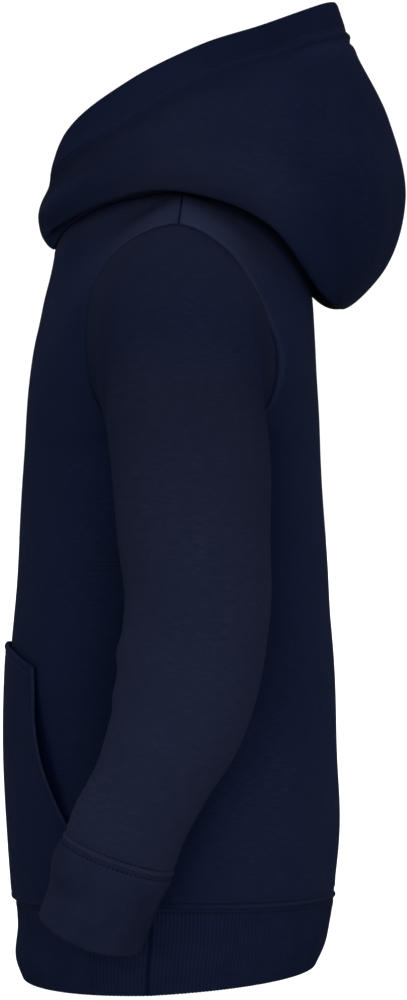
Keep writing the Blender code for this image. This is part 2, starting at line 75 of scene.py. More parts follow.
# Ribs of the knitted bands
BAND_RIB_HEIGHT, CUFF_RIB_HEIGHT = 0.34, 0.11
RIB_POWER = 0.7             # of the cosine across a rib: under 1 leaves the valley narrow
INSIDE_RIBS = 0.5           # share of their height kept on the band's inside
RIB_PITCH = 2.2
RIB_STEPS = 6               # columns to a rib
RIB_FADE = 2.6              # the ribs rise over this distance from the seam
BAND_RIBS = 300
CUFF_RIBS = 72
BAND_STEPS = 8              # rows between two stations of the hem band, and of a cuff
FOLD_ROWS = 4               # rows round a band's folded edge
INSIDE_ROWS = 8

# How finely each grid is cut
FINE = 6
NECK_STEPS = 7 * FINE       # columns from the middle of a panel to the inner end of its shoulder seam
SHOULDER_STEPS = 5 * FINE
ARM_STEPS = 2 * FINE        # rows between two stations of the armhole
CORNER_COLUMNS = 3 * FINE   # the top edge's corner is rounded over this many in the rows below it
CORNER_HOLD = 5.0           # power that keeps the corner itself close to the top edge
HALF_STEPS = NECK_STEPS + SHOULDER_STEPS
BODY_STEPS = [n * FINE for n in (1, 2, 2, 1, 1, 1)]
SLEEVE_STEPS = [n * FINE for n in (2, 1, 1, 2, 2, 2, 1, 1, 1, 1, 1)]
HOOD_NECK_COLUMNS = [n * FINE for n in (0, 3, 6, 8, 10, 12, 14, 16)]
HOOD_RISE = [n * FINE for n in (1, 2, 3, 3, 3, 3, 4, 2)]
TUNNEL_ROW = sum(HOOD_RISE[:-1])
EDGE_SHARES = (0.10, 0.22, 0.38, 0.64)  # extra lines across the cell next to a seam
TUNNEL_CELLS = 3            # cells on each side of the tunnel's seam that are halved
LIP_ROWS = 3                # rows round a turned edge
EDGE_REACH = 4.0            # the cloth beside an edge is drawn in with it, less and less to here

# Body below the arms, from the hem seam up: side seam, middle of the front, middle of the back
# side_x, side_y, side_z, front_y, front_z, back_y, back_z
BODY = [(113, -17, -379, -91.2, -382, 82.6, -382),
        (117, -15, -350, -93.4, -352, 84.8, -352),
        (119, -12, -308, -95.8, -306, 84.6, -308),
        (118, -8, -262, -95.2, -260, 82.6, -262),
        (116, -5, -215, -91.8, -215, 79.9, -215),
        (114.5, -3, -172, -88.8, -172, 77, -172),
        (117.5, -2, -141, -87.2, -140, 75.2, -141)]

# Each panel above the underarm, a row for each station of its armhole edge: the edge, the middle
# of the panel at that level, how far the row wraps round, and how much it follows the top edge
# edge_x, edge_y, edge_z, mid_y, mid_z, wrap, follow
FRONT_ARMHOLE = [(114, -30, -132, -86.2, -120, 84, 0.00),
                 (110, -46, -111, -84.4, -101, 76, 0.00),
                 (108, -50, -82, -81.2, -80, 70, 0.06),
                 (111, -46, -53, -76.8, -61, 66, 0.26),
                 (119, -29, -32.5, -72.6, -44, 64, 0.64),
                 (125, -2, -23.3, -70.5, -28.5, 62, 1.00)]
BACK_ARMHOLE = [(116, 30, -131, 74.2, -119, 84, 0.00),
                (114, 44, -117, 73.2, -99, 76, 0.00),
                (112, 49, -92, 72.2, -77, 70, 0.06),
                (114, 39, -63.5, 70.4, -53, 66, 0.26),
                (119, 24, -37.5, 65, -26, 64, 0.64),
                (125, -2, -23.3, 51, -3, 62, 1.00)]

# Half necklines, from the middle of the panel to the shoulder seam: x, y, z
FRONT_NECK = [(0, -70.5, -28.5), (17, -65, -19.5), (35, -45, -8), (50, -18, -2.5), (55, 0, 0)]
BACK_NECK = [(0, 51, -3), (25, 44, -2), (45, 25, -0.5), (55, 0, 0)]

# Sleeve sections from the shoulder to the cuff: outermost and innermost point, front and back
# out_x, out_z, in_x, in_z, front_y, front_z, back_y, back_z
SLEEVE = [(146, -36, 121, -140.5, -46.5, -88, 46.5, -92),
          (166, -62, 122.4, -144.5, -43.5, -106, 44.5, -106),
          (180, -98, 122.4, -150, -40, -124, 43, -122),
          (188, -140, 121.8, -160, -36.4, -149, 44.6, -145),
          (192, -186, 121, -184, -33.2, -186, 45.2, -184),
          (193, -230, 121, -230, -31.1, -230, 44.5, -228),
          (192, -262, 121.5, -254, -33, -250, 39.7, -262),
          (189, -290, 121.5, -278, -37.4, -273, 28.5, -293.5),
          (184, -316, 121.5, -304, -43.6, -300, 11.4, -320),
          (179, -338, 120.5, -327, -55.5, -324, 0.8, -341),
          (176, -351, 119.5, -344, -60.5, -337.9, -4.6, -357.4)]
SLEEVE_FOLD_FADE = 0.12     # share of the sleeve over which its folds die out towards each end
# Soft folds of the left sleeve: place along it and round it (0 the inner side, 0.25 the front,
# 0.5 the outer side), depth (a trough is negative), and reach along and round
SLEEVE_FOLDS = [
    (0.20, 0.19, -2.2, 0.10, 0.035), (0.24, 0.27, 1.2, 0.12, 0.040), (0.22, 0.79, -1.8, 0.09, 0.035),
    (0.62, 0.24, -2, 0.05, 0.110), (0.70, 0.20, 1.4, 0.05, 0.120), (0.80, 0.28, -1.6, 0.05, 0.100)]
# Cuff sections, with the columns of SLEEVE
CUFF = [SLEEVE[-1],
        (177, -361, 119, -352, -65.8, -347, -5.8, -361.5),
        (174, -376, 119.5, -366, -68, -362, -11, -372),
        (168, -396, 122, -388, -74, -379.5, -21, -397)]

# Hem band, with the columns of BODY
BAND = [(113.2, -17, -379, -92, -382, 82.8, -382),
        (112.4, -17, -397, -90.9, -399, 80.4, -397),
        (111.6, -17, -414, -92, -416, 77.4, -410),
        (109, -17, -426, -88, -427.5, 72.2, -421)]

# Hood sections from the middle of the back round to the front edge, which laps past the middle.
# Each gives its outer face from the roll above the neck seam, out over the shoulders, round the
# bottom of the bag and up to the tunnel seam and the rim.
#        roll        under         low           outside
#        belly       upper         tunnel        rim
HOOD = [((0, 57, 7), (0, 73, -18), (0, 87.5, -61), (0, 108, -43),
         (0, 121.8, -1), (0, 112.5, 43), (0, 90.5, 88), (0, 84, 107)),
        ((31, 49, 7), (37, 63, -16), (45, 75.5, -55), (60, 93, -34),
         (68, 101, 4), (60, 92, 46), (40, 78.5, 84), (33, 74, 102.7)),
        ((56, 18, 6), (64, 30, -5), (72, 48, -23), (86, 60, -8),
         (91, 62, 20), (83, 57, 50), (64, 47, 71), (57, 42, 89)),
        ((58, -11, 3), (65, -9, 0), (73, -6, -2), (85, -4, 9),
         (90, 0, 27), (84, 3, 45), (72, 7, 58.5), (63, 6, 76.5)),
        ((47, -38, -1.5), (54, -38, -5), (62, -37, -6), (71, -38, 1),
         (74, -38, 11), (71, -37, 23), (64, -35, 34.5), (56, -30, 58.9)),
        ((25, -63, -12), (30, -64.5, -15), (36, -65, -15.5), (41, -67, -10),
         (43, -69, 0), (42, -69, 8), (40, -67.5, 16), (32, -63, 35)),
        ((0, -73.5, -27), (0, -76, -24), (0, -78, -20.5), (0, -79, -16.5),
         (0, -79.3, -12.5), (0, -79, -8.5), (0, -78, -4), (0, -75, 3)),
        ((-22, -64.5, -18), (-22, -68.5, -17), (-22, -72, -15.5), (-22, -74.3, -13.5),
         (-22, -75.6, -11.5), (-22, -76.2, -9.3), (-22, -76.4, -7), (-22, -76, -3))]
# The right front edge goes behind the left one: neckline column, and how far there
HOOD_LAP = [(10 * FINE, 0), (12 * FINE, 5.2), (14 * FINE, 6.2), (16 * FINE, 10.5)]
LAP_RISE = 0.8              # and it is raised by this share of that depth

# Kangaroo pocket, from the hem seam up: height, half width there
POCKET = [(-382, 109), (-352, 107.5), (-333, 101.5), (-311, 95), (-291, 88.5), (-272, 82), (-244, 75)]
POCKET_TOP_DROP = 10.5      # the top edge is this much lower at its corners
POCKET_GAP = 1.2            # from the front panel's outer face
POCKET_MOUTH = 4.4          # how far the middle of each mouth stands off as well
MOUTH_FOOT = 0.22           # share of the pocket's height below its mouths
MOUTH_REACH = 10            # a high power keeps that standing off near the mouths
POCKET_COLUMNS = 120
POCKET_ROWS = 72
CLEAR_OF_HOLES = 1000.0     # keeps a cloth map clear of the stitch holes beside a seam

# Relief beside a seam: distance from it, reach, and height
SEWN = [(0, 0.75, -1.9), (2.4, 1.3, 0.35)]
TOPSTITCHED = [(0, 1.1, 0.75), (2.5, 0.8, -0.6), (4.8, 1.4, 0.3)]
TUNNEL = [(4.4, 1.3, -0.45), (0.8, 1.9, 0.95), (-2.8, 1.2, -0.85), (-7.4, 3, 0.5)]  # up is positive
TUNNEL_FADES = (0.40, 0.60, 0.12)   # shares of the way to the front, and the height left there
WANDER = [(5.3, 0.55), (2.6, 0.3), (13, 0.5)]  # length and size of the tunnel seam's wavering
POCKET_EDGE = [(1.6, 1.2, 0.45), (5.5, 0.9, -0.3)]
POCKET_FOOT = [(2.5, 1, -0.3)]
SIDE_SEAM = [(0, 0.9, -1), (2.2, 1.1, 0.3)]
ALLOWANCE = [(0, 2.6, 0.8)]         # the seam's turned edges, on the inside
DEEPEST = -1.9
# Folds and unevenness grow from nothing over these distances: from a ribbed band, a seam, the
# neck, the hood's middle seam and its front edge
BAND_CALM, SEAM_CALM, NECK_CALM, MIDDLE_CALM, FRONT_CALM = 12.0, 9.0, 14.0, 10.0, 20.0

# Soft folds of the panels: distance from the middle along the cloth and height, turn from upright
# in degrees, reach along and across, and depth (a trough is negative). The two sides differ a little.
FRONT_FOLDS = [
    (128, -190, 6, 42, 10, -1.5), (-131, -204, -8, 38, 9, -1.7), (86, -222, 2, 60, 12, 0.7),
    (-85, -214, -3, 66, 13, 0.7), (84, -150, 14, 46, 15, -0.8), (-80, -160, -12, 50, 14, -0.9),
    (30, -62, 62, 22, 9, -0.8), (-34, -66, -58, 24, 9, -0.7), (112, -236, 3, 84, 13, -1.6),
    (-113, -230, -3, 80, 13, -1.6), (132, -318, -4, 40, 10, -0.9), (-134, -306, 6, 44, 11, -1)]
BACK_FOLDS = [
    (124, -196, -7, 46, 11, -1.6), (-120, -188, 9, 42, 10, -1.5), (100, -236, -2, 64, 15, 0.9),
    (-96, -246, 4, 58, 14, 0.9), (66, -306, -3, 52, 17, -1.1), (-58, -320, 5, 48, 16, -1.2),
    (22, -340, 2, 40, 15, 0.7), (112, -330, 4, 44, 12, -1), (-108, -318, -5, 50, 12, -0.9)]
PANEL_FOLDS = {"front": FRONT_FOLDS, "back": BACK_FOLDS}
# Smaller creases of a sleeve: distance round from the outer side (the front is negative) and
# distance up from the cuff seam, then as above
SLEEVE_CREASES = [
    (-72, 62, 68, 26, 5, -1.2), (-78, 84, 74, 24, 5.5, -1.3), (-70, 108, 80, 28, 6, -1),
    (-66, 73, 70, 26, 6, 0.8), (-72, 96, 76, 24, 6, 0.8), (62, 30, -20, 22, 9, -0.8),
    (-24, 20, 10, 18, 9, -0.5), (58.5, 263, -16, 26, 5, -2.8), (49, 262, -14, 28, 5, 1),
    (-57, 238, 10, 28, 6, -2), (-47, 232, 8, 28, 5, 0.8), (4, 120, 84, 40, 12, -0.5),
    (-10, 62, 70, 34, 11, 0.5)]
# Folds of the hood: distance from the middle of the back and distance up from the tunnel seam,
# then as above
HOOD_FOLDS = [
    (52, -58, 40, 30, 13, -1.6), (92, -78, 58, 42, 12, 1.4), (38, -104, 22, 34, 12, -1.4),
    (118, -44, 66, 36, 11, -1), (150, -36, 60, 26, 9, 0.8), (74, -28, 80, 34, 10, -0.7),
    (16, -70, 4, 38, 10, 0.9)]
# Broad soft dents of each half of the hood: place (on the left half), reach along X, Y and Z, height
HOOD_DENTS = [
    (10, -75, 5, 30, 14, 7, -2.6), (6, -79, -11, 26, 10, 5, 0.4), (90, 38, 32, 30, 20, 15, -1.3),
    (88, 4, 14, 30, 26, 12, 0.8), (82, 66, 14, 30, 12, 26, -1.2), (60, 84, -34, 30, 12, 18, -1.4),
    (74, 88, 24, 22, 10, 18, 0.9), (70, -40, 22, 20, 18, 9, 0.7), (68, 36, -12, 20, 30, 20, -3.4)]
# The cloth's slow unevenness is a sum of products of two waves. Each row is its height and the
# two waves, by their lengths along X, Y and Z and where they start.
FLAT = np.inf               # no wave along that axis
UNEVEN = 0.34
SWELLS = [(1, (17, FLAT, 29, 0.6), (FLAT, -31, 23, 0)),
          (0.7, (FLAT, 15, -19, 1.9), (21, 37, FLAT, 0)),
          (0.5, (13, FLAT, 11, 0), (FLAT, 12, FLAT, 0.8))]

# How pale painted light and shade make the cloth: 1 is its plain colour. Each row is a place and how pale
# it is.
# The panels, by height:
FRONT_PALE = [(-390, 0.79), (-320, 0.70), (-290, 0.66), (-260, 0.73), (-75, 0.77)]
BACK_PALE = [(-380, 0.93), (-330, 0.94), (-270, 0.84), (-130, 0.83), (-75, 0.80), (-50, 0.96), (-22, 1.14)]
# Painted light on the shoulders: above the chest the front pales towards them: place from front to back,
# share of that
SHOULDER_PAINTED_LIGHT = [(-60, 1.00), (-50, 1.18), (-40, 1.28), (-27, 1.40), (0, 1.28)]
SHOULDER_FROM = (-75.0, -35.0)      # heights where that begins and is whole
# Painted light beside the neck, lifting the shade where the hood keeps the light off: how much paler and
# how far
NECK_PAINTED_LIGHT = {"front": (0.6, 20.0), "back": (0.40, 30.0)}
# Painted shadow beside a sleeve: height, how much deeper, and how far from the sleeve's edge
SLEEVE_SHADOW_FRONT = [(-330, 0.00, 16), (-290, 0.18, 18), (-262, 0.30, 21), (-200, 0.25, 18), (-150, 0.00, 14)]
SLEEVE_SHADOW_BACK = [(-400, 0.26, 16), (-340, 0.28, 15), (-290, 0.20, 24), (-230, 0.32, 15), (-150, 0.30, 13),
               (-115, 0.00, 10)]
# The sleeve, by the share of its length:
SLEEVE_PALE = [(0, 0.76), (0.2, 0.69), (0.5, 1.00), (0.8, 1.22), (1, 1.20)]
# The hood, from front to back, and the share of that by the distance up from the tunnel's seam, at
# its back and at its front:
HOOD_PALE = [(-80, 1.00), (0, 0.90), (45, 0.84), (65, 0.70), (95, 0.68), (120, 0.72)]
HOOD_RISE_PALE = [(-70, 1.00), (-22, 0.90), (-6, 0.82), (20, 0.77)]
HOOD_FRONT_PALE = [(-60, 0.95), (-40, 0.80), (-25, 0.69), (-12, 0.96), (-3, 0.72), (8, 0.61)]
HOOD_FRONT_FADE = (0.52, 0.72)      # shares of the way round where the one turns into the other
# The rim, and the cloth beside the tunnel's seam: how much paler than that, by place front to back
RIM_PALE = [(-25, 1.00), (-6, 0.95), (12, 0.83), (50, 0.77), (64, 1.02), (73, 1.12)]
TUNNEL_PALE = [(3, 1.00), (20, 0.92), (45, 0.94), (56, 1.00), (73, 1.27)]
RIM_FROM, TUNNEL_FROM = (1.0, 4.0), (-18.0, -8.0)   # each begins and is whole this far up
# Painted light lifts the shade of the hood's underside towards the neck: how far its face looks up, how
# much paler
UNDERSIDE_PAINTED_LIGHT = [(-1, 1.2), (-0.7, 0.8), (-0.35, 0.35), (-0.05, 0)]
UNDERSIDE_FADE = (85.0, 55.0)       # from front to back: not past the one, wholly before the other
POCKET_PALE = 0.75
BAND_PALE, CUFF_PALE = 0.62, 0.71
SEAM_RIDGE_HIGHLIGHT = [(2.1, 0.9, 1)]            # painted highlight on the ridge beside a seam, where its turned edges lift the cloth
# How strong that painted highlight is on each panel
SEAM_RIDGE_HIGHLIGHT_SHARE = {"front": 0.06, "back": 0.30}
SEAM_SHADE_LINE = [(0, 0.55, 1)]            # painted shade along the line of a seam, how dark by distance
SEAM_SHADE_WIDENS = 2.6        # the painted shade of an armhole's line is this much wider where it faces up or back
SEAM_SHALLOWER = 0.65       # and by this share its groove is less deep there
NECK_GROOVE = 0.35          # share of its depth that the groove keeps along the neck and shoulders
UNDERARM_GROOVE = 0.5       # and along the sleeve's own seam
MOUTH_SHADE = 1.3           # the front is dark under the pocket, and this far beside its mouths
# The panels are a little longer than the band they are sewn to: swells above it
EASE_HEIGHT = 0.35
EASE_PITCH = 27.0
EASE_SWAY, EASE_SWAY_PITCH = 1.3, 41.0      # their pitch is uneven, by this angle over this length
EASE_STARTS, EASE_REACH = 6.0, 34.0

# Topstitching
STITCH_PITCH = 2.1
STITCH_LENGTH = 1.6
STITCH_WIDTH = 0.5
STITCH_HEIGHT = 0.34
STITCH_FROM_SEAM = 2.5
STITCH_TAPER = 0.8          # how far a stitch narrows to its ends
STITCH_RISES, STITCH_DIPS = 0.35, 0.6   # shares of its height: in its middle, and to its ends
TUNNEL_STITCHES = (4.4, -2.8)           # above the tunnel's seam and below it
POCKET_STITCHES = 5.5       # from the pocket's edges
STITCH_SIDES = 6
STITCH_RINGS = 5

MIRRORED = np.array([-1.0, 1.0, 1.0])
OUTSIDE, INSIDE = 0, 1      # places of a piece's two finishes

# Linear colours
NAVY = (0.0060, 0.0086, 0.0225)
NAVY_DEEP = (0.0036, 0.0054, 0.0155)
NAVY_SLUB = (0.0094, 0.0124, 0.0295)
# Painted shade in the valleys between ribs, and how much of it each band has
RIB_VALLEY_SHADE = (0.0022, 0.0036, 0.0105)
BAND_VALLEY_SHARE, CUFF_VALLEY_SHARE = 0.45, 0.15
# Painted shade in the stitch holes
STITCH_HOLE_SHADE = (0.0012, 0.0020, 0.0060)
# Painted shade along seam lines and under the pocket, and how much of it at most
PAINTED_SHADE_NAVY = (0.0008, 0.0022, 0.0105)
PAINTED_SHADE_SHARE = 0.95
DEEP_TINT, PALE_TINT = (0.88, 1.01, 1.10), (1.11, 1.01, 0.90)   # painted shade is bluer than painted light
WARMS = (0.75, 1.0)         # how pale the cloth is where the one tint turns into the other
# How much paler or deeper the pieces count for their tint
BODY_WARM, SLEEVE_WARM, HOOD_WARM, CUFF_WARM = 0.89, 1.25, 1.08, 1.26
FLEECE_NAVY = (0.0075, 0.0100, 0.0255)
THREAD_NAVY = (0.0034, 0.0050, 0.0140)
THREAD_DEEP = (0.0022, 0.0034, 0.0100)
FLOOR_WHITE = (0.95, 0.95, 0.95)
FLOOR_GREY = (0.40, 0.40, 0.40)

# Patterns of the finishes. Noises: scale, detail and roughness
NAP = (900.0, 3.0, 0.6)
SLUB = (1.0, 2.0, 0.55)
CLOUD, RIB_CLOUD = (34.0, 3.0, 0.6), (60.0, 3.0, 0.6)
TUFTS, FIBRES = (420.0, 4.0, 0.65), (1500.0, 2.0, 0.6)
PLIES = (2500.0, 1.0)
FLOOR_MOTTLE = (1.5,)
KNIT_CHAINS, KNIT_LOOPS, RIB_LOOPS = 950.0, 1250.0, 900.0      # in a metre across, and up
SLUB_ACROSS, SLUB_UP = 150.0, 1100.0
KNIT_SLANT, RIB_SLANT = 7.5, 2.6        # how much a loop's two legs slant
KNIT_NAP, RIB_LOOP, PILE_FIBRE = 1.1, 0.6, 0.4      # their shares of the relief
SHADE_BETWEEN_CHAINS = 0.35       # how deep the painted shade is between two chains
# Power that keeps the painted shade narrow in a rib's valley
VALLEY_POWER = 3.0
# How a noise is spread before it mixes two colours: times, and less
SLUB_SPREAD, CLOUD_SPREAD = (3.6, 1.55), (1.6, 0.55)
RIB_SPREAD, TUFT_SPREAD = (1.8, 0.4), (2.2, 0.6)
KNIT_BUMP, RIB_BUMP, PILE_BUMP, PLY_BUMP = 0.00022, 0.0002, 0.0007, 0.00008     # heights in metres
HOLE_WIDTH = 0.45           # a stitch hole reaches this far on each side of the stitches' line
HOLE_SHARE = 0.34           # and this share of the pitch along it

# Shine that all the cloth shares: hardly any
SOFT_SHINE = {"Specular_IOR_Level": 0.004}


# ---- curves and sections

def smooth(stations, steps, before=None, after=None):
    """Stations joined by cubics, each gap cut into its number of steps.

    The slope at a station is the mean of its two chords, the nearer neighbour counting more.
    before and after are stations past the ends that only steer the slope there.
    """
    stations = np.asarray(stations, float)
    if isinstance(steps, int):
        steps = [steps] * (len(stations) - 1)
    before = 2 * stations[0] - stations[1] if before is None else before
    after = 2 * stations[-1] - stations[-2] if after is None else after
    p = np.concatenate([[before], stations, [after]])
    chord = np.linalg.norm(np.diff(p, axis=0), axis=-1)
    chord = chord.reshape(len(chord), -1).mean(axis=1)
    length = chord.reshape((-1,) + (1,) * (p.ndim - 1))
    slope = np.diff(p, axis=0) / length
    tangent = (slope[:-1] * length[1:] + slope[1:] * length[:-1]) / (length[:-1] + length[1:])
    pieces = []
    for i, count in enumerate(steps):
        t = (np.arange(count) / count).reshape((-1,) + (1,) * (p.ndim - 1))
        gap = chord[i + 1]
        pieces.append((2 * t**3 - 3 * t**2 + 1) * stations[i]
                      + (t**3 - 2 * t**2 + t) * gap * tangent[i]
                      + (3 * t**2 - 2 * t**3) * stations[i + 1]
                      + (t**3 - t**2) * gap * tangent[i + 1])
    return np.concatenate(pieces + [stations[-1:]])


def lengths(line):
    """Distance along a line of points from its first point to each."""
    return np.concatenate([[0], np.cumsum(np.linalg.norm(np.diff(line, axis=0), axis=1))])


def evenly(line, count, closed=False):
    """Count equal lengths marked off along a line of points."""
    line = all_round(line) if closed else line
    along = lengths(line)
    marks = np.linspace(0, along[-1], count + 1)
    marks = marks[:-1] if closed else marks
    return np.stack([np.interp(marks, along, line[:, k]) for k in range(line.shape[1])], axis=1)


def all_round(values, axis=0):
    """A line or grid with its first place again at its end."""
    return np.concatenate([values, np.take(values, [0], axis)], axis=axis)


def part_way(value, begins, whole):
    """How far a value has come from where a change begins to where it is whole, from 0 to 1."""
    return np.clip((value - begins) / (whole - begins), 0, 1)


def bell(distance, reach):
    """A bell curve: e to the power of minus the square of the distance over its reach."""
    return np.exp(-(distance / reach) ** 2)


def unit(vectors):
    """The vectors at length one; a vector of no length stays as it is."""
    return vectors / np.maximum(np.linalg.norm(vectors, axis=-1, keepdims=True), 1e-9)


def oval(angle, power):
    """Sine and cosine raised so that a quarter turn draws a quarter of a superellipse."""
    return np.abs(np.sin(angle)) ** (2 / power), np.abs(np.cos(angle)) ** (2 / power)


def body_arc(section, face, angle):
    """A quarter of a body section, from the middle of the front or back (0) to the side (90)."""
    side_x, side_y, side_z, front_y, front_z, back_y, back_z = section
    mid_y, mid_z = (front_y, front_z) if face == "front" else (back_y, back_z)
    across, deep = oval(np.radians(angle), ROUNDNESS)
    return np.stack([side_x * across, side_y + (mid_y - side_y) * deep,
                     side_z + (mid_z - side_z) * deep], axis=-1)


def whole_section(section):
    """A closed body section of close points, from the middle of the front round by the left."""
    angle = np.linspace(0, 90, CLOSE_POINTS + 1)
    front = body_arc(section, "front", angle)
    back = body_arc(section, "back", angle)[::-1]
    half = np.concatenate([front, back[1:]])
    return np.concatenate([half, half[-2:0:-1] * MIRRORED])


def limb_ring(section, angle):
    """A sleeve section: four quarter ovals through its inner, front, outer and back points."""
    out_x, out_z, in_x, in_z, front_y, front_z, back_y, back_z = section
    mid_x = (out_x + in_x) / 2
    mid_y = (front_y + back_y) / 2
    points = np.array([(in_x, mid_y, in_z), (mid_x, front_y, front_z),
                       (out_x, mid_y, out_z), (mid_x, back_y, back_z)])
    centre = points.mean(axis=0)
    deep, across = oval(np.radians(angle), SLEEVE_ROUNDNESS)
    inner = np.where(np.cos(np.radians(angle))[:, None] > 0, points[0], points[2]) - centre
    side = np.where(np.sin(np.radians(angle))[:, None] > 0, points[1], points[3]) - centre
    return centre + across[:, None] * inner + deep[:, None] * side


# ---- outer faces of the pieces

def half_top(neck):
    """Top edge of half a panel: neckline, then shoulder seam."""
    neck = np.array(neck)
    curve = smooth(neck, CLOSE_POINTS, before=neck[1] * MIRRORED)
    shoulder = np.linspace(neck[-1], FRONT_ARMHOLE[-1][:3], SHOULDER_STEPS + 1)
    return np.concatenate([evenly(curve, NECK_STEPS), shoulder[1:]])


def eased(line):
    """Half a top edge with its corner rounded: each point is a weighted mean of those beside it.

    The line is carried on past the middle as its mirror image, and past its end turned about it.
    """
    reach = CORNER_COLUMNS - 1
    before = line[reach:0:-1] * MIRRORED
    past = 2 * line[-1] - line[-2:-reach - 2:-1]
    carried = np.concatenate([before, line, past])
    weights = CORNER_COLUMNS - np.abs(np.arange(-reach, reach + 1.0))
    return np.stack([np.convolve(values, weights / weights.sum(), "valid") for values in carried.T], axis=1)


def armhole_edge(rows, other_rows):
    """One panel's armhole edge from the underarm to the shoulder point, which both edges round."""
    underarm = np.array(BODY[-1][:3])
    stations = [underarm] + [row[:3] for row in rows]
    return smooth(stations, ARM_STEPS, after=np.array(other_rows[-2][:3]))


def panel(face):
    """Outer face of the front or back as a grid: rows from the hem up, columns right to left.

    Below the underarm a row is half an oval section. Above it a row is the same oval stretched to
    the armhole edge, and it changes step by step into the shape of the neckline and shoulder.
    """
    panels = [(FRONT_ARMHOLE, FRONT_NECK), (BACK_ARMHOLE, BACK_NECK)]
    (rows, neck), (other_rows, _) = panels if face == "front" else panels[::-1]
    column = np.linspace(0, 1, HALF_STEPS + 1)
    lower = [body_arc(section, face, 90 * column) for section in smooth(BODY, BODY_STEPS)]
    top = half_top(neck)
    soft_top = eased(top)
    edge = armhole_edge(rows, other_rows)
    last = BODY[-1][3:5] if face == "front" else BODY[-1][5:7]
    levels = smooth([last + (90.0, 0.0)] + [row[3:] for row in rows], ARM_STEPS)
    upper = []
    for (mid_y, mid_z, wrap, follow), rim in zip(levels[1:], edge[1:]):
        middle = np.array([0.0, mid_y, mid_z])
        across, deep = oval(np.radians(wrap * column), ROUNDNESS)
        across = across / across[-1]
        deep = (deep - deep[-1]) / (1 - deep[-1])
        arc = np.stack([rim[0] * across, rim[1] + (mid_y - rim[1]) * deep,
                        rim[2] + (mid_z - rim[2]) * deep], axis=1)
        follow = np.clip(follow, 0, 1)
        above = soft_top + follow**CORNER_HOLD * (top - soft_top)
        like_top = above + (1 - column)[:, None] * (middle - above[0]) + column[:, None] * (rim - above[-1])
        upper.append(arc + follow * (like_top - arc))
    half = np.array(lower + upper)
    return np.concatenate([half[:, :0:-1] * MIRRORED, half], axis=1)


def sleeve():
    """Outer face of the left sleeve: rings from the armhole to the cuff seam, with its large folds.

    A fold's height falls off as a bell curve both along the sleeve and round it.
    """
    front = armhole_edge(FRONT_ARMHOLE, BACK_ARMHOLE)
    back = armhole_edge(BACK_ARMHOLE, FRONT_ARMHOLE)
    armhole = np.concatenate([front, back[-2:0:-1]])
    angle = np.linspace(0, 360, len(armhole), endpoint=False)
    rings = [armhole] + [limb_ring(section, angle) for section in SLEEVE]
    face = smooth(rings, SLEEVE_STEPS)
    outwards = -grid_normals(face, round_columns=True)
    along = np.linspace(0, 1, len(face))[:, None]
    turn = np.linspace(0, 1, len(armhole), endpoint=False)[None, :]
    height = np.zeros((len(face), len(armhole)))
    for place, side, depth, reach, width in SLEEVE_FOLDS:
        away = (turn - side + 0.5) % 1 - 0.5
        height += depth * np.exp(-((along - place) / reach) ** 2 - (away / width) ** 2)
    height *= np.clip(np.minimum(along, 1 - along) / SLEEVE_FOLD_FADE, 0, 1)
    return face + height[..., None] * outwards


def neck_line():
    """Neckline from the middle of the back, round the wearer's left and past the middle front."""
    back = half_top(BACK_NECK)[:NECK_STEPS + 1]
    front = half_top(FRONT_NECK)[:NECK_STEPS + 1]
    past = front[1:HOOD_NECK_COLUMNS[-1] - HOOD_NECK_COLUMNS[-2] + 1] * MIRRORED
    return np.concatenate([back, front[-2::-1], past])


def hood(lapped_under):
    """Outer face of the left half of the hood: rows up from the neck, columns round it.

    Every section is a smooth curve up from the neckline, and the sections are joined smoothly.
    """
    neck = neck_line()
    steps = [int(n) for n in np.diff(HOOD_NECK_COLUMNS)]
    sections = np.array(HOOD, float)
    stations = np.array([smooth(np.concatenate([[neck[column]], section]), HOOD_RISE)
                         for column, section in zip(HOOD_NECK_COLUMNS, sections)])
    face = smooth(stations, steps, before=stations[1] * MIRRORED)
    face[:, 0] = neck
    if lapped_under:
        behind = np.interp(np.arange(len(face)), *np.array(HOOD_LAP).T)
        inwards = LAP_RISE * np.array([0, 0, 1]) - unit(face * [1, 1, 0])
        face = face + behind[:, None, None] * inwards
    return np.swapaxes(face, 0, 1)


def front_at(sections, x, z):
    """Points of the front panel below the arms at given x and height."""
    side_x, side_y, side_z, front_y, front_z = [
        np.interp(z, sections[:, 4], sections[:, k]) for k in range(5)]
    deep = (1 - np.abs(x / side_x) ** ROUNDNESS) ** (1 / ROUNDNESS)
    return np.stack([x, side_y + (front_y - side_y) * deep, z + (side_z - front_z) * (1 - deep)], axis=-1)


def pocket():
    """Outer and inner face of the pocket: the front's own points, moved out.

    They move out by a small gap, and by more in the middle of each mouth.
    """
    heights, widths = np.array(POCKET).T
    sections = smooth(BODY, CLOSE_POINTS)
    across = np.linspace(-1, 1, POCKET_COLUMNS + 1)[None, :]
    up = np.linspace(0, 1, POCKET_ROWS + 1)[:, None]
    level = heights[0] + (heights[-1] - heights[0]) * up
    x = across * np.interp(level, heights, widths)
    z = level - POCKET_TOP_DROP * up * across**2
    face = front_at(sections, x, z)
    normal = grid_normals(face)
    open_height = part_way(up, MOUTH_FOOT, 1)
    stand = POCKET_MOUTH * np.sin(np.pi * open_height) ** 2 * np.abs(across) ** MOUTH_REACH
    inner = face + (POCKET_GAP + stand)[..., None] * normal
    return inner + SWEAT_CLOTH * normal, inner


# ---- grids

def grid_normals(grid, round_columns=False):
    """Unit normals of a grid: the cross product of its slopes along a row and up a column."""
    if round_columns:
        grid = np.concatenate([grid[:, -1:], grid, grid[:, :1]], axis=1)
    normal = np.cross(np.gradient(grid, axis=1), np.gradient(grid, axis=0))
    return unit(normal[:, 1:-1] if round_columns else normal)


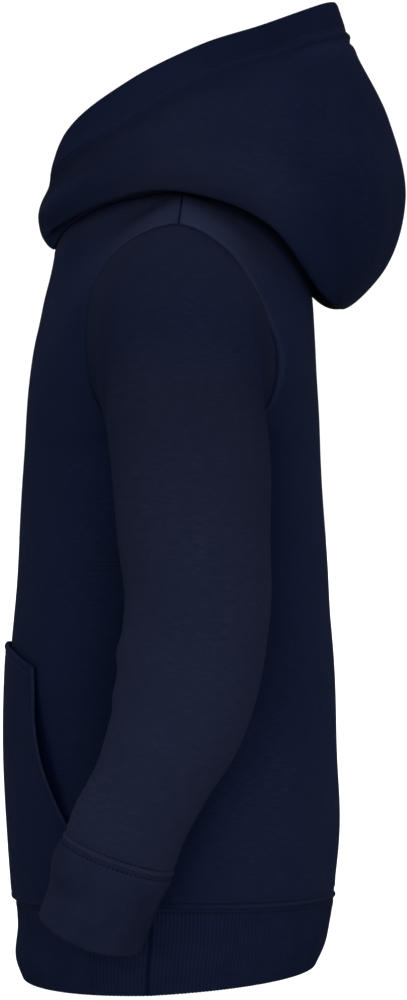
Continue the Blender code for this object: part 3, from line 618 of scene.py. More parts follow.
def run(grid, axis):
    """Distance of each point of a grid from the first, along its rows (axis 1) or columns (0)."""
    step = np.linalg.norm(np.diff(grid, axis=axis), axis=-1)
    total = np.cumsum(step, axis=axis)
    return np.concatenate([np.zeros_like(np.take(total, [0], axis)), total], axis=axis)


def at_marks(grid, marks, axis):
    """The grid at fractional places along one axis, each a mix of its two neighbours."""
    low = np.minimum(np.floor(marks).astype(int), grid.shape[axis] - 2)
    shape = [1] * grid.ndim
    shape[axis] = -1
    share = (marks - low).reshape(shape)
    return np.take(grid, low, axis) * (1 - share) + np.take(grid, low + 1, axis) * share


def seam_marks(count, middle=None):
    """Places 0 to count - 1, with extra ones by the seams at both ends and about a middle line."""
    shares = np.array(EDGE_SHARES)
    marks = [np.arange(count, dtype=float), shares, count - 1 - shares]
    if middle is not None:
        marks.append(np.arange(middle - TUNNEL_CELLS, middle + TUNNEL_CELLS) + 0.5)
    return np.sort(np.concatenate(marks))


def with_seam_lines(grid, middle=None, round_columns=False):
    """The grid with extra rows and columns by its seams."""
    grid = at_marks(grid, seam_marks(len(grid), middle), 0)
    return grid if round_columns else at_marks(grid, seam_marks(grid.shape[1]), 1)


def share_normals(pieces):
    """Where the edges of two or more pieces meet, their walls lean the same way, like a mitre.

    That way is the middle of the cone round their normals. It is found by adding the normals up
    again and again, each time with more weight on those that the sum leans away from.
    """
    points = np.concatenate([piece["face"].reshape(-1, 3) for piece in pieces])
    own = np.concatenate([piece["normal"].reshape(-1, 3) for piece in pieces])
    _, group = np.unique(np.round(points, 2), axis=0, return_inverse=True)
    group = group.ravel()
    weight = np.ones((len(own), 1))
    for _ in range(MITRE_ROUNDS):
        total = np.zeros((group.max() + 1, 3))
        np.add.at(total, group, weight * own)
        mean = unit(total)[group]
        towards = (mean * own).sum(axis=1, keepdims=True)
        weight = weight * np.exp(1 - towards)
    lean = mean / np.clip(towards, LEAST_TOWARDS, 1)
    start = 0
    for piece in pieces:
        count = piece["face"].size // 3
        piece["lean"] = lean[start:start + count].reshape(piece["face"].shape)
        start += count


# ---- relief of the cloth

def relief(distance, table):
    """Height beside a seam: the sum of bell curves, each at its own distance from the seam."""
    return sum(height * bell(distance - place, reach) for place, reach, height in table)


def allowances(*distances):
    """The ridges that turned edges make inside, along seams at these distances."""
    return sum(relief(distance, ALLOWANCE) for distance in distances)


def folds(across, along, table, girth=None):
    """Height of soft folds: for each, a turned bell curve that is long one way and narrow the other."""
    height = np.zeros(across.shape)
    for place_across, place_along, turn, reach, width, depth in table:
        aside = across - place_across
        if girth is not None:
            aside = (aside + girth / 2) % girth - girth / 2
        up = along - place_along
        cosine, sine = np.cos(np.radians(turn)), np.sin(np.radians(turn))
        lengthwise = up * cosine + aside * sine
        sideways = aside * cosine - up * sine
        height += depth * np.exp(-(lengthwise / reach) ** 2 - (sideways / width) ** 2)
    return height


def dents(points, table):
    """Height of broad dents: bell curves in space, the same on both sides of the middle."""
    places = points * [np.sign(points[..., 0].mean()), 1, 1]
    return sum(height * np.exp(-(((places - centre) / reach) ** 2).sum(axis=-1))
               for centre, reach, height in ((row[:3], row[3:6], row[6]) for row in np.array(table)))


def unevenness(points):
    """Slow swells of the cloth: a sum of products of two sine waves of the place, from SWELLS."""
    def wave(across_x, across_y, across_z, start):
        return np.sin(x / across_x + y / across_y + z / across_z + start)

    x, y, z = np.moveaxis(points, -1, 0)
    return UNEVEN * sum(height * wave(*first) * wave(*second) for height, first, second in SWELLS)


def ease(across, up):
    """Small upright swells where a longer edge is sewn to a shorter band, dying out away from it."""
    wave = np.sin(2 * np.pi * across / EASE_PITCH + EASE_SWAY * np.sin(across / EASE_SWAY_PITCH))
    return EASE_HEIGHT * wave * bell(up, EASE_REACH) * (1 - bell(up, EASE_STARTS))


# ---- meshes

def corners(grid):
    """The four corners of every cell of a grid of indices or coordinates, going round it."""
    cells = [grid[:-1, :-1], grid[:-1, 1:], grid[1:, 1:], grid[1:, :-1]]
    return np.stack(cells, axis=2).reshape(-1, 4, *grid.shape[2:])


def off_edges(grid, amount, round_columns):
    """Moves off the grid by an amount at each edge, and by ever less to EDGE_REACH inside it.

    Where two edges meet, each takes the amount that it has just before the corner.
    """
    moves = np.zeros_like(grid)
    for axis in (0,) if round_columns else (0, 1):
        for order in (1, -1):
            # The third is a view of the moves, so that they gain what is added to it
            lines, amounts, from_edge = [np.moveaxis(values, axis, 0)[::order]
                                         for values in (grid, amount, moves)]
            edge = amounts[0][1:-1]
            edge = np.concatenate([edge[:1], edge, edge[-1:]])
            inside = np.linalg.norm(lines - lines[:1], axis=-1, keepdims=True)
            from_edge += np.clip(1 - inside / EDGE_REACH, 0, 1) * edge * unit(lines[0] - lines[1])
    return moves


def border(grid):
    """The edge of a grid as one closed line: along the first row, up the last column and back."""
    line = np.concatenate([grid[0, :-1], grid[:-1, -1], grid[-1, :0:-1], grid[:0:-1, 0]])
    return all_round(line)


def at(values, table):
    """A table of places and values, read at other places by straight lines between its rows."""
    return np.interp(values, *np.array(table).T[:2])


def warmth(pale, counts=1.0):
    """How far the tint goes from cloth painted deep to cloth painted pale; some pieces count as paler than
    they are.
    """
    return part_way(pale * counts, *WARMS)


def with_tones(points, pale=1.0, painted_shade=0.0, warm=1.0):
    """Points with three more columns: how pale painted light and shade make the cloth, how much painted
    shade is on it, and its tint.
    """
    columns = [np.broadcast_to(tone, points.shape[:-1])[..., None] for tone in (pale, painted_shade, warm)]
    return np.concatenate([points] + columns, axis=-1)


def cloth_shell(outer, inner, uv, turned_edge, round_columns=False):
    """Points, with their tones, and parts of a closed wall between two grids.

    Its border goes from the inner to the outer face: straight across where turned_edge is 0, and
    along half a circle where it is 1. Both faces are first drawn in from such an edge by the
    half circle's radius. A part is a grid of indices, its cloth map and its finish.
    """
    size = outer.shape[0] * outer.shape[1]
    index = np.arange(size).reshape(outer.shape[:2])
    radius = turned_edge[..., None] * np.linalg.norm((outer - inner)[..., :3], axis=-1, keepdims=True) / 2
    drawn = with_tones(off_edges(outer[..., :3], radius, round_columns), 0.0, 0.0, 0.0)
    outer, inner = outer - drawn, inner - drawn
    wrapped = all_round(index, 1) if round_columns else index
    parts = [(wrapped, uv, OUTSIDE), (wrapped[:, ::-1] + size, uv[:, ::-1], INSIDE)]
    columns = outer.shape[-1]
    points = [outer.reshape(-1, columns), inner.reshape(-1, columns)]
    if round_columns:
        lines = [(wrapped[0], uv[0]), (wrapped[-1, ::-1], uv[-1, ::-1])]
    else:
        lines = [(border(index), border(uv))]
    count = 2 * size
    for line, line_uv in lines:
        start, end = points[1][line], points[0][line]
        lift = drawn.reshape(-1, columns)[line]
        strip = [line + size]
        for k in range(1, LIP_ROWS + 1):
            angle = np.pi * k / (LIP_ROWS + 1)
            row = (start + end) / 2 - np.cos(angle) * (end - start) / 2 + np.sin(angle) * lift
            points.append(row[:-1])
            strip.append(all_round(np.arange(count, count + len(row) - 1)))
            count += len(row) - 1
        strip.append(line)
        parts.append((np.array(strip), np.repeat(line_uv[None], len(strip), axis=0), OUTSIDE))
    return np.concatenate(points), parts


def placed(name, data):
    """A new object in the scene."""
    made = bpy.data.objects.new(name, data)
    bpy.context.scene.collection.objects.link(made)
    return made


def make_mesh(name, points, faces, finishes):
    """A mesh object of the garment, from points in millimetres and lists of their numbers."""
    mesh = bpy.data.meshes.new(name)
    mesh.from_pydata(points * MM, [], faces)
    for finish in finishes:
        mesh.materials.append(finish)
    mesh.shade_smooth()
    mesh.update()
    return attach(placed(name, mesh), "root")


def make_piece(name, points, parts, finishes, turned=False):
    """A mesh object from points in millimetres, with tones, and parts; turned reverses its faces."""
    faces = np.concatenate([corners(index) for index, _, _ in parts])
    uv = np.concatenate([corners(grid) for _, grid, _ in parts])
    finish = np.concatenate([np.full(len(corners(index)), number) for index, _, number in parts])
    if turned:
        faces, uv = faces[:, ::-1], uv[:, ::-1]
    piece = make_mesh(name, points[:, :3], faces.tolist(), finishes)
    mesh = piece.data
    for tone, values in zip(("pale", "painted_shade", "warm"), points.T[3:]):
        mesh.attributes.new(tone, "FLOAT", "POINT").data.foreach_set("value", values.astype(np.float32))
    layer = mesh.uv_layers.new(name="cloth")
    layer.data.foreach_set("uv", np.ascontiguousarray(uv * MM, dtype=np.float32).ravel())
    mesh.polygons.foreach_set("material_index", finish.astype(np.int32))
    mesh.update()
    return piece


# ---- sewn pieces

def sewn_pieces():
    """The plain pieces: outer grid, wall, whether it goes round and whether its faces are turned."""
    left_sleeve = sleeve()
    rows = [("front", "front", panel("front"), SWEAT_CLOTH, False, False),
            ("back", "back", panel("back"), SWEAT_CLOTH, False, True),
            ("sleeve_left", "sleeve", left_sleeve, SWEAT_CLOTH, True, True),
            ("sleeve_right", "sleeve", left_sleeve * MIRRORED, SWEAT_CLOTH, True, False),
            ("hood_left", "hood", hood(False), HOOD_CLOTH, False, True),
            ("hood_right", "hood", hood(True) * MIRRORED, HOOD_CLOTH, False, False)]
    names = ("node", "cut", "face", "thick", "goes_round", "turned")
    pieces = [dict(zip(names, row)) for row in rows]
    for piece in pieces:
        normal = grid_normals(piece["face"], round_columns=piece["goes_round"])
        piece["normal"] = -normal if piece["turned"] else normal
    share_normals(pieces)
    return pieces


def panel_relief(cut, face, lean):
    """Cloth map, relief, and painted light and shade of a panel: seams on all its edges, ease above the
    hem, and folds.
    """
    up, along = run(face, 0), run(face, 1)
    down, along_back = up[-1:] - up, along[:, -1:] - along
    sides = np.minimum(along, along_back)
    middle = face.shape[1] // 2
    across = along - along[:, middle:middle + 1]
    height = folds(across, face[..., 2], PANEL_FOLDS[cut]) + unevenness(face) + ease(across, up)
    quiet = (1 - bell(up, BAND_CALM)) * (1 - bell(np.minimum(down, sides), SEAM_CALM))
    aside = faces_up_or_back(lean)
    seams = relief(up, TOPSTITCHED) + relief(down, SEWN) * NECK_GROOVE
    seams = seams + relief(sides, SEWN) * (1 - SEAM_SHALLOWER * aside)
    # Painted shade along the seam lines, wider at the armhole where it faces up or back, and under the
    # pocket
    seen_beside = sides / (1 + SEAM_SHADE_WIDENS * aside * (face[..., 2] > BODY[-1][2]))
    at_shoulder = np.abs(face[..., 0]) > FRONT_NECK[-1][0]
    painted_shade = np.maximum(relief(seen_beside, SEAM_SHADE_LINE), relief(down, SEAM_SHADE_LINE) * at_shoulder)
    if cut == "front":
        painted_shade = np.maximum(painted_shade, under_pocket(face))
    # Painted light and shade: by place, paler beside the neck, with a painted highlight on the seam ridges
    paler, reach = NECK_PAINTED_LIGHT[cut]
    pale = panel_pale(cut, face) * (1 + paler * bell(down, reach))
    pale = pale + SEAM_RIDGE_HIGHLIGHT_SHARE[cut] * relief(seen_beside, SEAM_RIDGE_HIGHLIGHT)
    return {"uv": np.stack([across, up], axis=-1), "height": height * quiet, "seams": seams,
            "inside": allowances(up, down, along, along_back), "pale": pale, "painted_shade": painted_shade,
            "warm": warmth(pale, BODY_WARM)}


def faces_up_or_back(lean):
    """How far the cloth faces up or back: the squares of those parts of its direction."""
    return (np.clip(lean[..., 1:], 0, 1) ** 2).sum(axis=-1)


def panel_pale(cut, face):
    """How pale a panel is painted: painted light and shade by height, painted shadow beside the sleeves,
    painted light towards the shoulders.
    """
    y, z = face[..., 1], face[..., 2]
    arm = np.array(SLEEVE + CUFF[1:])[::-1]
    if cut == "front":
        pale = at(z, FRONT_PALE) * (1 + part_way(z, *SHOULDER_FROM) * (at(y, SHOULDER_PAINTED_LIGHT) - 1))
        table, away = SLEEVE_SHADOW_FRONT, np.interp(z, arm[:, 5], arm[:, 4]) - y
    else:
        pale = at(z, BACK_PALE)
        table, away = SLEEVE_SHADOW_BACK, y - np.interp(z, arm[:, 7], arm[:, 6])
    heights, shares, reaches = np.array(table).T
    beside = bell(np.maximum(away, 0), np.interp(z, heights, reaches))
    return pale * (1 - np.interp(z, heights, shares) * beside)


def under_pocket(face):
    """How far the front is in the pocket's shade: all under it, fading out beside its mouths."""
    heights, widths = np.array(POCKET).T
    foot = heights[0]
    share = (face[..., 2] - foot) / (heights[-1] - foot - POCKET_TOP_DROP)
    half_width = np.interp(foot + (heights[-1] - foot) * share, heights, widths)
    fade = MOUTH_SHADE * np.sin(np.pi * part_way(share, MOUTH_FOOT, 1))
    inside = (half_width + fade - np.abs(face[..., 0])) / MOUTH_SHADE
    return np.clip(inside, 0, 1) * ((share > 0) & (share < 1))


def sleeve_relief(face, lean):
    """Cloth map, relief, and painted light and shade of a sleeve: its seams at armhole, cuff and underarm,
    and creases.
    """
    ring = all_round(face, 1)
    along = run(ring, 1)
    girth = along[:, -1:]
    across = along - girth / 2
    down = run(ring, 0)
    up = down[-1:] - down
    height = folds(across, up, SLEEVE_CREASES, girth) + unevenness(ring)
    quiet = (1 - bell(up, BAND_CALM)) * (1 - bell(down, SEAM_CALM))
    underarm = girth / 2 - np.abs(across)
    aside = faces_up_or_back(all_round(lean, 1))
    seams = relief(up, TOPSTITCHED) + relief(underarm, SEWN) * UNDERARM_GROOVE
    seams = seams + relief(down, SEWN) * (1 - SEAM_SHALLOWER * aside)
    # Painted light and shade along the sleeve, and painted shade in the armhole and underarm seam lines
    pale = at(down / down[-1:], SLEEVE_PALE)
    painted_shade = np.maximum(relief(down / (1 + SEAM_SHADE_WIDENS * aside), SEAM_SHADE_LINE), relief(underarm, SEAM_SHADE_LINE))
    form = {"height": height * quiet, "seams": seams, "inside": allowances(up, down, underarm),
            "pale": pale, "painted_shade": painted_shade, "warm": warmth(pale, SLEEVE_WARM)}
    form = {key: values[:, :-1] for key, values in form.items()}
    return {"uv": np.stack([across, up], axis=-1), **form}


def hood_pale(face, up, place):
    """How pale painted light and shade make the hood, but for its underside: the product of what the tables
    say of a point.

    They go by its place from front to back, its distance up from the tunnel's seam and its place
    round the hood from the middle of the back; the rim and the strip beside the seam have their own.
    """
    y = face[..., 1]
    front = part_way(place, *HOOD_FRONT_FADE)
    by_rise = at(up, HOOD_RISE_PALE) * (1 - front) + at(up, HOOD_FRONT_PALE) * front
    on_rim, by_tunnel = part_way(up, *RIM_FROM), part_way(up, *TUNNEL_FROM)
    rim = 1 + on_rim * (at(y, RIM_PALE) - 1)
    beside = 1 + (by_tunnel - on_rim) * (at(y, TUNNEL_PALE) - 1)
    return at(y, HOOD_PALE) * by_rise * rim * beside


def hood_relief(face, lean):
    """Cloth map, relief, and painted light and shade of half the hood: tunnel and middle seam, turned rim
    and folds.
    """
    across, rise = run(face, 1), run(face, 0)
    tunnel = np.argmin(np.abs(seam_marks(sum(HOOD_RISE) + 1, TUNNEL_ROW) - TUNNEL_ROW))
    up = rise - rise[tunnel:tunnel + 1]
    height = folds(across, up, HOOD_FOLDS) + unevenness(face)
    calm = (1 - bell(rise, NECK_CALM)) * (1 - bell(rise[-1:] - rise, SEAM_CALM))
    calm = calm * (1 - bell(across, MIDDLE_CALM)) * (1 - bell(across[:, -1:] - across, FRONT_CALM))
    place = np.linspace(0, 1, face.shape[1])[None, :]
    fades_from, faded, least = TUNNEL_FADES
    strength = 1 - (1 - least) * part_way(place, fades_from, faded)
    wander = sum(size * np.sin(across / length) for length, size in WANDER)
    turned_edge = np.zeros(across.shape)
    turned_edge[-1] = 1
    turned_edge[tunnel:, -1] = 1
    pale = hood_pale(face, up, place)
    towards_neck = part_way(face[..., 1], *UNDERSIDE_FADE)
    return {"uv": np.stack([across, up + CLEAR_OF_HOLES], axis=-1),
            "height": height * calm + dents(face, HOOD_DENTS),
            "seams": relief(up + wander, TUNNEL) * strength + relief(across, SEWN),
            "inside": relief(up, TUNNEL) / 2 + allowances(across), "turned_edge": turned_edge,
            # Painted light on the underside, and painted shade along the middle seam's line
            "pale": pale * (1 + towards_neck * at(lean[..., 2], UNDERSIDE_PAINTED_LIGHT)),
            "painted_shade": relief(across, SEAM_SHADE_LINE), "warm": warmth(pale, HOOD_WARM)}


RELIEF = {"front": partial(panel_relief, "front"), "back": partial(panel_relief, "back"),
          "sleeve": sleeve_relief, "hood": hood_relief}


def sew(piece, finishes):
    """Makes one plain piece and keeps its finished outer face for the stitches."""
    both = np.concatenate([piece["face"], piece["lean"]], axis=-1)
    both = with_seam_lines(both, TUNNEL_ROW if piece["cut"] == "hood" else None, piece["goes_round"])
    face, lean = both[..., :3], both[..., 3:]
    form = RELIEF[piece["cut"]](face, unit(lean))
    height, uv = form["height"], form["uv"]
    outer = face + (height + np.maximum(form["seams"], DEEPEST))[..., None] * lean
    inner = face + (height - piece["thick"] - form["inside"])[..., None] * lean
    toned = with_tones(outer, form["pale"], form["painted_shade"], form["warm"]), with_tones(inner)
    turned_edge = form.get("turned_edge", np.zeros(height.shape))
    points, parts = cloth_shell(*toned, uv, turned_edge, piece["goes_round"])
    piece.update(outer=outer, uv=uv, lean=unit(lean))
    return make_piece(piece["node"] + "_cloth", points, parts, finishes, piece["turned"])


def sew_pocket(finishes):
    """The pocket, with turned edges at its top and mouths; also its outer face and directions."""
    both = with_seam_lines(np.concatenate(pocket(), axis=-1))
    outer, inner = both[..., :3], both[..., 3:]
    lean = unit(outer - inner)
    up, width = run(outer, 0), run(outer, 1)
    edge = np.minimum.reduce([up[-1:] - up, width, width[:, -1:] - width])
    height = relief(edge, POCKET_EDGE) + relief(up, POCKET_FOOT)
    turned_edge = np.ones(height.shape)
    turned_edge[0] = 0
    uv = np.stack([width - width[:, -1:] / 2, up + CLEAR_OF_HOLES], axis=-1)
    outer = outer + height[..., None] * lean
    toned = with_tones(outer, POCKET_PALE, warm=warmth(POCKET_PALE)), with_tones(inner)
    points, parts = cloth_shell(*toned, uv, turned_edge)
    return make_piece("pocket_cloth", points, parts, finishes), outer, lean


# ---- ribbed bands

def ribbed_band(rings, ribs, rib_height, seam_places, pale, warm):
    """Points, parts, outer grid and normals of a band of rib knit folded double, going round.

    Each row is a ring of equal steps. The wall turns round a half circle at its folded edge and goes
    back up inside. A rib's height is a power of the size of a cosine, so its top is broad and the
    valley narrow. A narrow groove runs down each side seam.
    """
    count = ribs * RIB_STEPS
    outer = np.array([evenly(ring, count, closed=True) for ring in rings])
    normal = grid_normals(outer, round_columns=True)
    centre = outer.mean(axis=(0, 1))
    normal *= np.sign(((outer - centre) * normal).sum())
    inner = outer - RIB_CLOTH * normal
    away = unit(outer[-1] - outer[-2])
    radius = RIB_CLOTH / 2
    outer[-1] -= radius * away
    inner[-1] -= radius * away
    angle = (np.pi * np.arange(1, FOLD_ROWS + 1) / (FOLD_ROWS + 1))[:, None, None]
    lip = (outer[-1] + inner[-1]) / 2 + np.cos(angle) * (outer[-1] - inner[-1]) / 2
    lip = lip + np.sin(angle) * radius * away
    back = at_marks(inner, np.linspace(len(inner) - 1, 0, INSIDE_ROWS + 1), 0)
    wall = np.concatenate([outer, lip, back])
    outwards = grid_normals(wall, round_columns=True)
    outwards *= np.sign((outwards[:len(outer)] * normal).sum())
    down = run(wall, 0)
    column = np.arange(count)[None, :]
    rib = np.abs(np.cos(np.pi * column / RIB_STEPS)) ** RIB_POWER
    strength = 1 - bell(down, RIB_FADE)
    strength[len(outer) + FOLD_ROWS:] *= INSIDE_RIBS
    height = -rib_height * strength * (1 - rib)
    outside = np.arange(len(wall))[:, None] <= len(outer)
    height = height + np.where(outside, relief(down, TOPSTITCHED), 0)
    beside = np.min([np.abs((column / count - place + 0.5) % 1 - 0.5) for place in seam_places], axis=0)
    beside = beside * ribs * RIB_PITCH
    height = height + np.where(outside, relief(beside, SIDE_SEAM), 0)
    wall = wall + height[..., None] * outwards
    # Painted shade along the side seams' lines
    points = with_tones(wall, pale, relief(beside, SEAM_SHADE_LINE), warm).reshape(-1, 6)
    index = all_round(all_round(np.arange(len(wall) * count).reshape(len(wall), count), 1))
    share = np.linspace(0, 1, count + 1)[None, :]
    across = np.repeat(share * ribs * RIB_PITCH, len(index), axis=0)
    depth = all_round(np.concatenate([down, down[-1:] + RIB_CLOTH]), 1)
    uv = np.stack([across, -depth], axis=-1)
    return points, [(index, uv, OUTSIDE)], wall[:len(outer)], outwards[:len(outer)]


# ---- stitches

def line_at(grid, distance, mark):
    """The line of a grid where the distance, which grows with the rows, reaches a mark."""
    low = np.clip((distance < mark).sum(axis=0) - 1, 0, len(grid) - 2)[None, :]
    near = np.take_along_axis(distance, low, 0)
    far = np.take_along_axis(distance, low + 1, 0)
    share = ((mark - near) / (far - near))[..., None]
    start = np.take_along_axis(grid, low[..., None], 0)
    end = np.take_along_axis(grid, low[..., None] + 1, 0)
    return (start * (1 - share) + end * share)[0]


def stitch_row(line, outwards, closed=False):
    """Points and faces of stitches laid along a line on the cloth.

    A stitch is a stretched ball: rings whose radius follows the root of one minus the fourth power
    of the place along it, flatter than it is wide, with its ends dipping into the cloth.
    """
    both = np.concatenate([line, outwards], axis=1)
    both = all_round(both) if closed else both
    along = lengths(both[:, :3])
    count = int(along[-1] // STITCH_PITCH)
    marks = (np.arange(count) + 0.5) * along[-1] / count
    half = STITCH_LENGTH / 2

    def point(places):
        return np.stack([np.interp(places, along, both[:, k]) for k in range(6)], axis=1)

    middle = point(marks)
    tangent = unit(point(marks + half)[:, :3] - point(marks - half)[:, :3])[:, None, None]
    normal = unit(middle[:, 3:])[:, None, None]
    side = unit(np.cross(normal, tangent))
    place = np.linspace(-1, 1, STITCH_RINGS)[None, :, None, None]
    thick = (1 - STITCH_TAPER * place**4) ** 0.5
    turn = (2 * np.pi * np.arange(STITCH_SIDES) / STITCH_SIDES)[None, None, :, None]
    points = (middle[:, None, None, :3] + half * place * tangent
              + thick * STITCH_WIDTH / 2 * np.cos(turn) * side
              + thick * STITCH_HEIGHT / 2 * np.sin(turn) * normal
              + STITCH_HEIGHT * (STITCH_RISES - STITCH_DIPS * place**4) * normal)
    ring = all_round(np.arange(STITCH_RINGS * STITCH_SIDES).reshape(STITCH_RINGS, STITCH_SIDES), 1)
    quads = corners(ring)[:, ::-1]
    ends = np.array([ring[0, :-1], ring[-1, -2::-1]])
    starts = STITCH_RINGS * STITCH_SIDES * np.arange(count)
    return (points.reshape(-1, 3), (quads[None] + starts[:, None, None]).reshape(-1, 4),
            (ends[None] + starts[:, None, None]).reshape(-1, STITCH_SIDES))


def stitches_at(outer, lean, distance, mark, closed=False):
    """A row of stitches along the line of a grid where the distance reaches a mark."""
    return stitch_row(line_at(outer, distance, mark), line_at(lean, distance, mark), closed)


def sew_stitches(name, rows, finish):
    """One joined mesh of several rows of stitches."""
    starts = np.cumsum([0] + [len(points) for points, _, _ in rows])
    faces = []
    for (_, quads, ends), start in zip(rows, starts):
        faces += (quads + start).tolist() + (ends + start).tolist()
    stitches = make_mesh(name, np.concatenate([points for points, _, _ in rows]), faces, [finish])
    return stitches


# ---- finishes

class Shade:
    """A node's output. Reckoning with shades adds their Math nodes."""

    def __init__(self, finish, socket):
        self.finish, self.socket = finish, socket

    def math(self, operation, *values):
        return self.finish.node("ShaderNodeMath", {"operation": operation}, dict(enumerate(values)))

    def __rsub__(self, other):
        return self.math("SUBTRACT", other, self)

    def fraction(self):
        return self.math("FRACT", self)

    def cosine(self):
        return self.math("COSINE", self)

    def spread(self, times, less):
        """A noise made stronger before it mixes two colours."""
        return self * times - less


def operator(operation):
    """A method that joins a shade with others, if any, by one Math operation."""
    return lambda shade, *others: shade.math(operation, shade, *others)


for sign, operation in (("add", "ADD"), ("radd", "ADD"), ("sub", "SUBTRACT"), ("mul", "MULTIPLY"),
                        ("rmul", "MULTIPLY"), ("pow", "POWER"), ("abs", "ABSOLUTE"), ("lt", "LESS_THAN")):
    setattr(Shade, "__" + sign + "__", operator(operation))


class Finish:
    """A material whose Principled shader is fed by nodes."""

    def __init__(self, name, **values):
        self.material = bpy.data.materials.new(name)
        self.material.use_nodes = True
        self.tree = self.material.node_tree
        self.shader = self.tree.nodes["Principled BSDF"]
        for key, value in values.items():
            self.shader.inputs[key.replace("_", " ")].default_value = value

    def node(self, kind, settings=None, sockets=None, output=0):
        """Adds a node: its settings first, then the values or links of its sockets."""
        node = self.tree.nodes.new(kind)
        for key, value in (settings or {}).items():
            setattr(node, key, value)
        for key, value in (sockets or {}).items():
            self.feed(node.inputs[key], value)
        return Shade(self, node.outputs[output])

    def feed(self, socket, value):
        if isinstance(value, Shade):
            self.tree.links.new(value.socket, socket)
        else:
            socket.default_value = value

    def cloth_map(self):
        """The two coordinates of the cloth map, in metres: across, and up from the topstitched seam."""
        place = self.node("ShaderNodeUVMap", {"uv_map": "cloth"})
        return [self.node("ShaderNodeSeparateXYZ", None, {0: place}, output=k) for k in range(2)]

    def place(self):
        """The point's own place, in metres."""
        return self.node("ShaderNodeTexCoord", output=3)

    def tone(self, name):
        """One of the tones kept at the points of a piece."""
        return self.node("ShaderNodeAttribute", {"attribute_name": name}, output=2)

    def noise(self, vector, scale, detail=2.0, roughness=0.5):
        return self.node("ShaderNodeTexNoise", None, {"Vector": vector, "Scale": scale,
                                                      "Detail": detail, "Roughness": roughness})

    def mix(self, factor, first, second):
        """Colours mixed; 6 and 7 are the colour sockets of a Mix node, and 2 its colour output."""
        return self.node("ShaderNodeMix", {"data_type": "RGBA", "clamp_factor": True},
                         {0: factor, 6: (*first, 1.0) if isinstance(first, tuple) else first,
                          7: (*second, 1.0) if isinstance(second, tuple) else second}, output=2)

    def toned(self, face):
        """A colour made paler or deeper by painted light and shade, and painted dark down in a seam."""
        tint = self.mix(self.tone("warm"), DEEP_TINT, PALE_TINT)
        tinted = self.node("ShaderNodeVectorMath", {"operation": "MULTIPLY"}, {0: face, 1: tint})
        lit_and_shaded = self.node("ShaderNodeVectorMath", {"operation": "SCALE"},
                           {0: tinted, "Scale": self.tone("pale")})
        return self.mix(self.tone("painted_shade") * PAINTED_SHADE_SHARE, lit_and_shaded, PAINTED_SHADE_NAVY)

    def bump(self, height, distance):
        """A Bump node into the shader's normal; distance is in metres."""
        self.feed(self.shader.inputs["Normal"],
                  self.node("ShaderNodeBump", None, {"Height": height, "Distance": distance}))

    def colour(self, value):
        self.feed(self.shader.inputs["Base Color"], value)

    def roughness(self, noise, rises, least):
        """Rises from the least with a noise."""
        self.feed(self.shader.inputs["Roughness"], noise * rises + least)

    def sewn(self, across, up, face):
        """The toned colour, with stitch holes painted as dark shade in a line beside the seam."""
        beside = abs(abs(up) - STITCH_FROM_SEAM * MM) < HOLE_WIDTH * MM
        hole = (across * (1 / (STITCH_PITCH * MM))).fraction() < HOLE_SHARE
        self.colour(self.mix(beside * hole, self.toned(face), STITCH_HOLE_SHADE))


def jersey_finish():
    """The smooth face of the sweatshirt knit: fine chains of loops with painted shade between them, slubs
    across, and stitch holes painted dark.
    """
    cloth = Finish("jersey_face", **SOFT_SHINE)
    across, up = cloth.cloth_map()
    place = cloth.place()
    chain = (across * KNIT_CHAINS).fraction() - 0.5
    legs = 0.5 - (across * (KNIT_CHAINS * 4 * np.pi)).cosine() * 0.5
    loops = (abs(chain) * KNIT_SLANT + up * (KNIT_LOOPS * 2 * np.pi)).cosine() * 0.5 + 0.5
    nap = cloth.noise(place, *NAP)
    slub_place = cloth.node("ShaderNodeCombineXYZ", None, {0: across * SLUB_ACROSS, 1: up * SLUB_UP})
    slub = cloth.noise(slub_place, *SLUB)
    cloud = cloth.noise(place, *CLOUD)
    cloth.bump(legs * (loops * 0.5 + 0.5) + nap * KNIT_NAP, KNIT_BUMP)
    face = cloth.mix(slub.spread(*SLUB_SPREAD), NAVY, NAVY_SLUB)
    face = cloth.mix(cloud.spread(*CLOUD_SPREAD), face, NAVY)
    face = cloth.mix((1 - legs) * SHADE_BETWEEN_CHAINS, face, NAVY_DEEP)
    cloth.sewn(across, up, face)
    cloth.roughness(nap, rises=0.12, least=0.82)
    return cloth.material


def fleece_finish():
    """The brushed inside of the knit: short matted pile."""
    pile = Finish("brushed_inside", **SOFT_SHINE)
    place = pile.place()
    tufts, fibres = pile.noise(place, *TUFTS), pile.noise(place, *FIBRES)
    pile.bump(tufts + fibres * PILE_FIBRE, PILE_BUMP)
    pile.colour(pile.mix(tufts.spread(*TUFT_SPREAD), NAVY_DEEP, FLEECE_NAVY))
    pile.roughness(fibres, rises=0.1, least=0.88)
    return pile.material


def rib_finish(name, valley_share):
    """Rib knit: bars of loops up each rib, painted shade in the valleys between ribs, and stitch holes
    painted dark.
    """
    rib = Finish(name, **SOFT_SHINE)
    across, up = rib.cloth_map()
    place = rib.place()
    crown = abs((across * (1 / (RIB_PITCH * MM))).fraction() - 0.5) * 2
    loops = (crown * RIB_SLANT + up * (RIB_LOOPS * 2 * np.pi)).cosine() * 0.5 + 0.5
    nap, cloud = rib.noise(place, *NAP), rib.noise(place, *RIB_CLOUD)
    rib.bump(loops * RIB_LOOP + nap, RIB_BUMP)
    face = rib.mix(cloud.spread(*RIB_SPREAD), NAVY, NAVY_SLUB)
    face = rib.mix((1 - crown) ** VALLEY_POWER * valley_share, face, RIB_VALLEY_SHADE)
    rib.sewn(across, up, face)
    rib.roughness(nap, rises=0.12, least=0.8)
    return rib.material


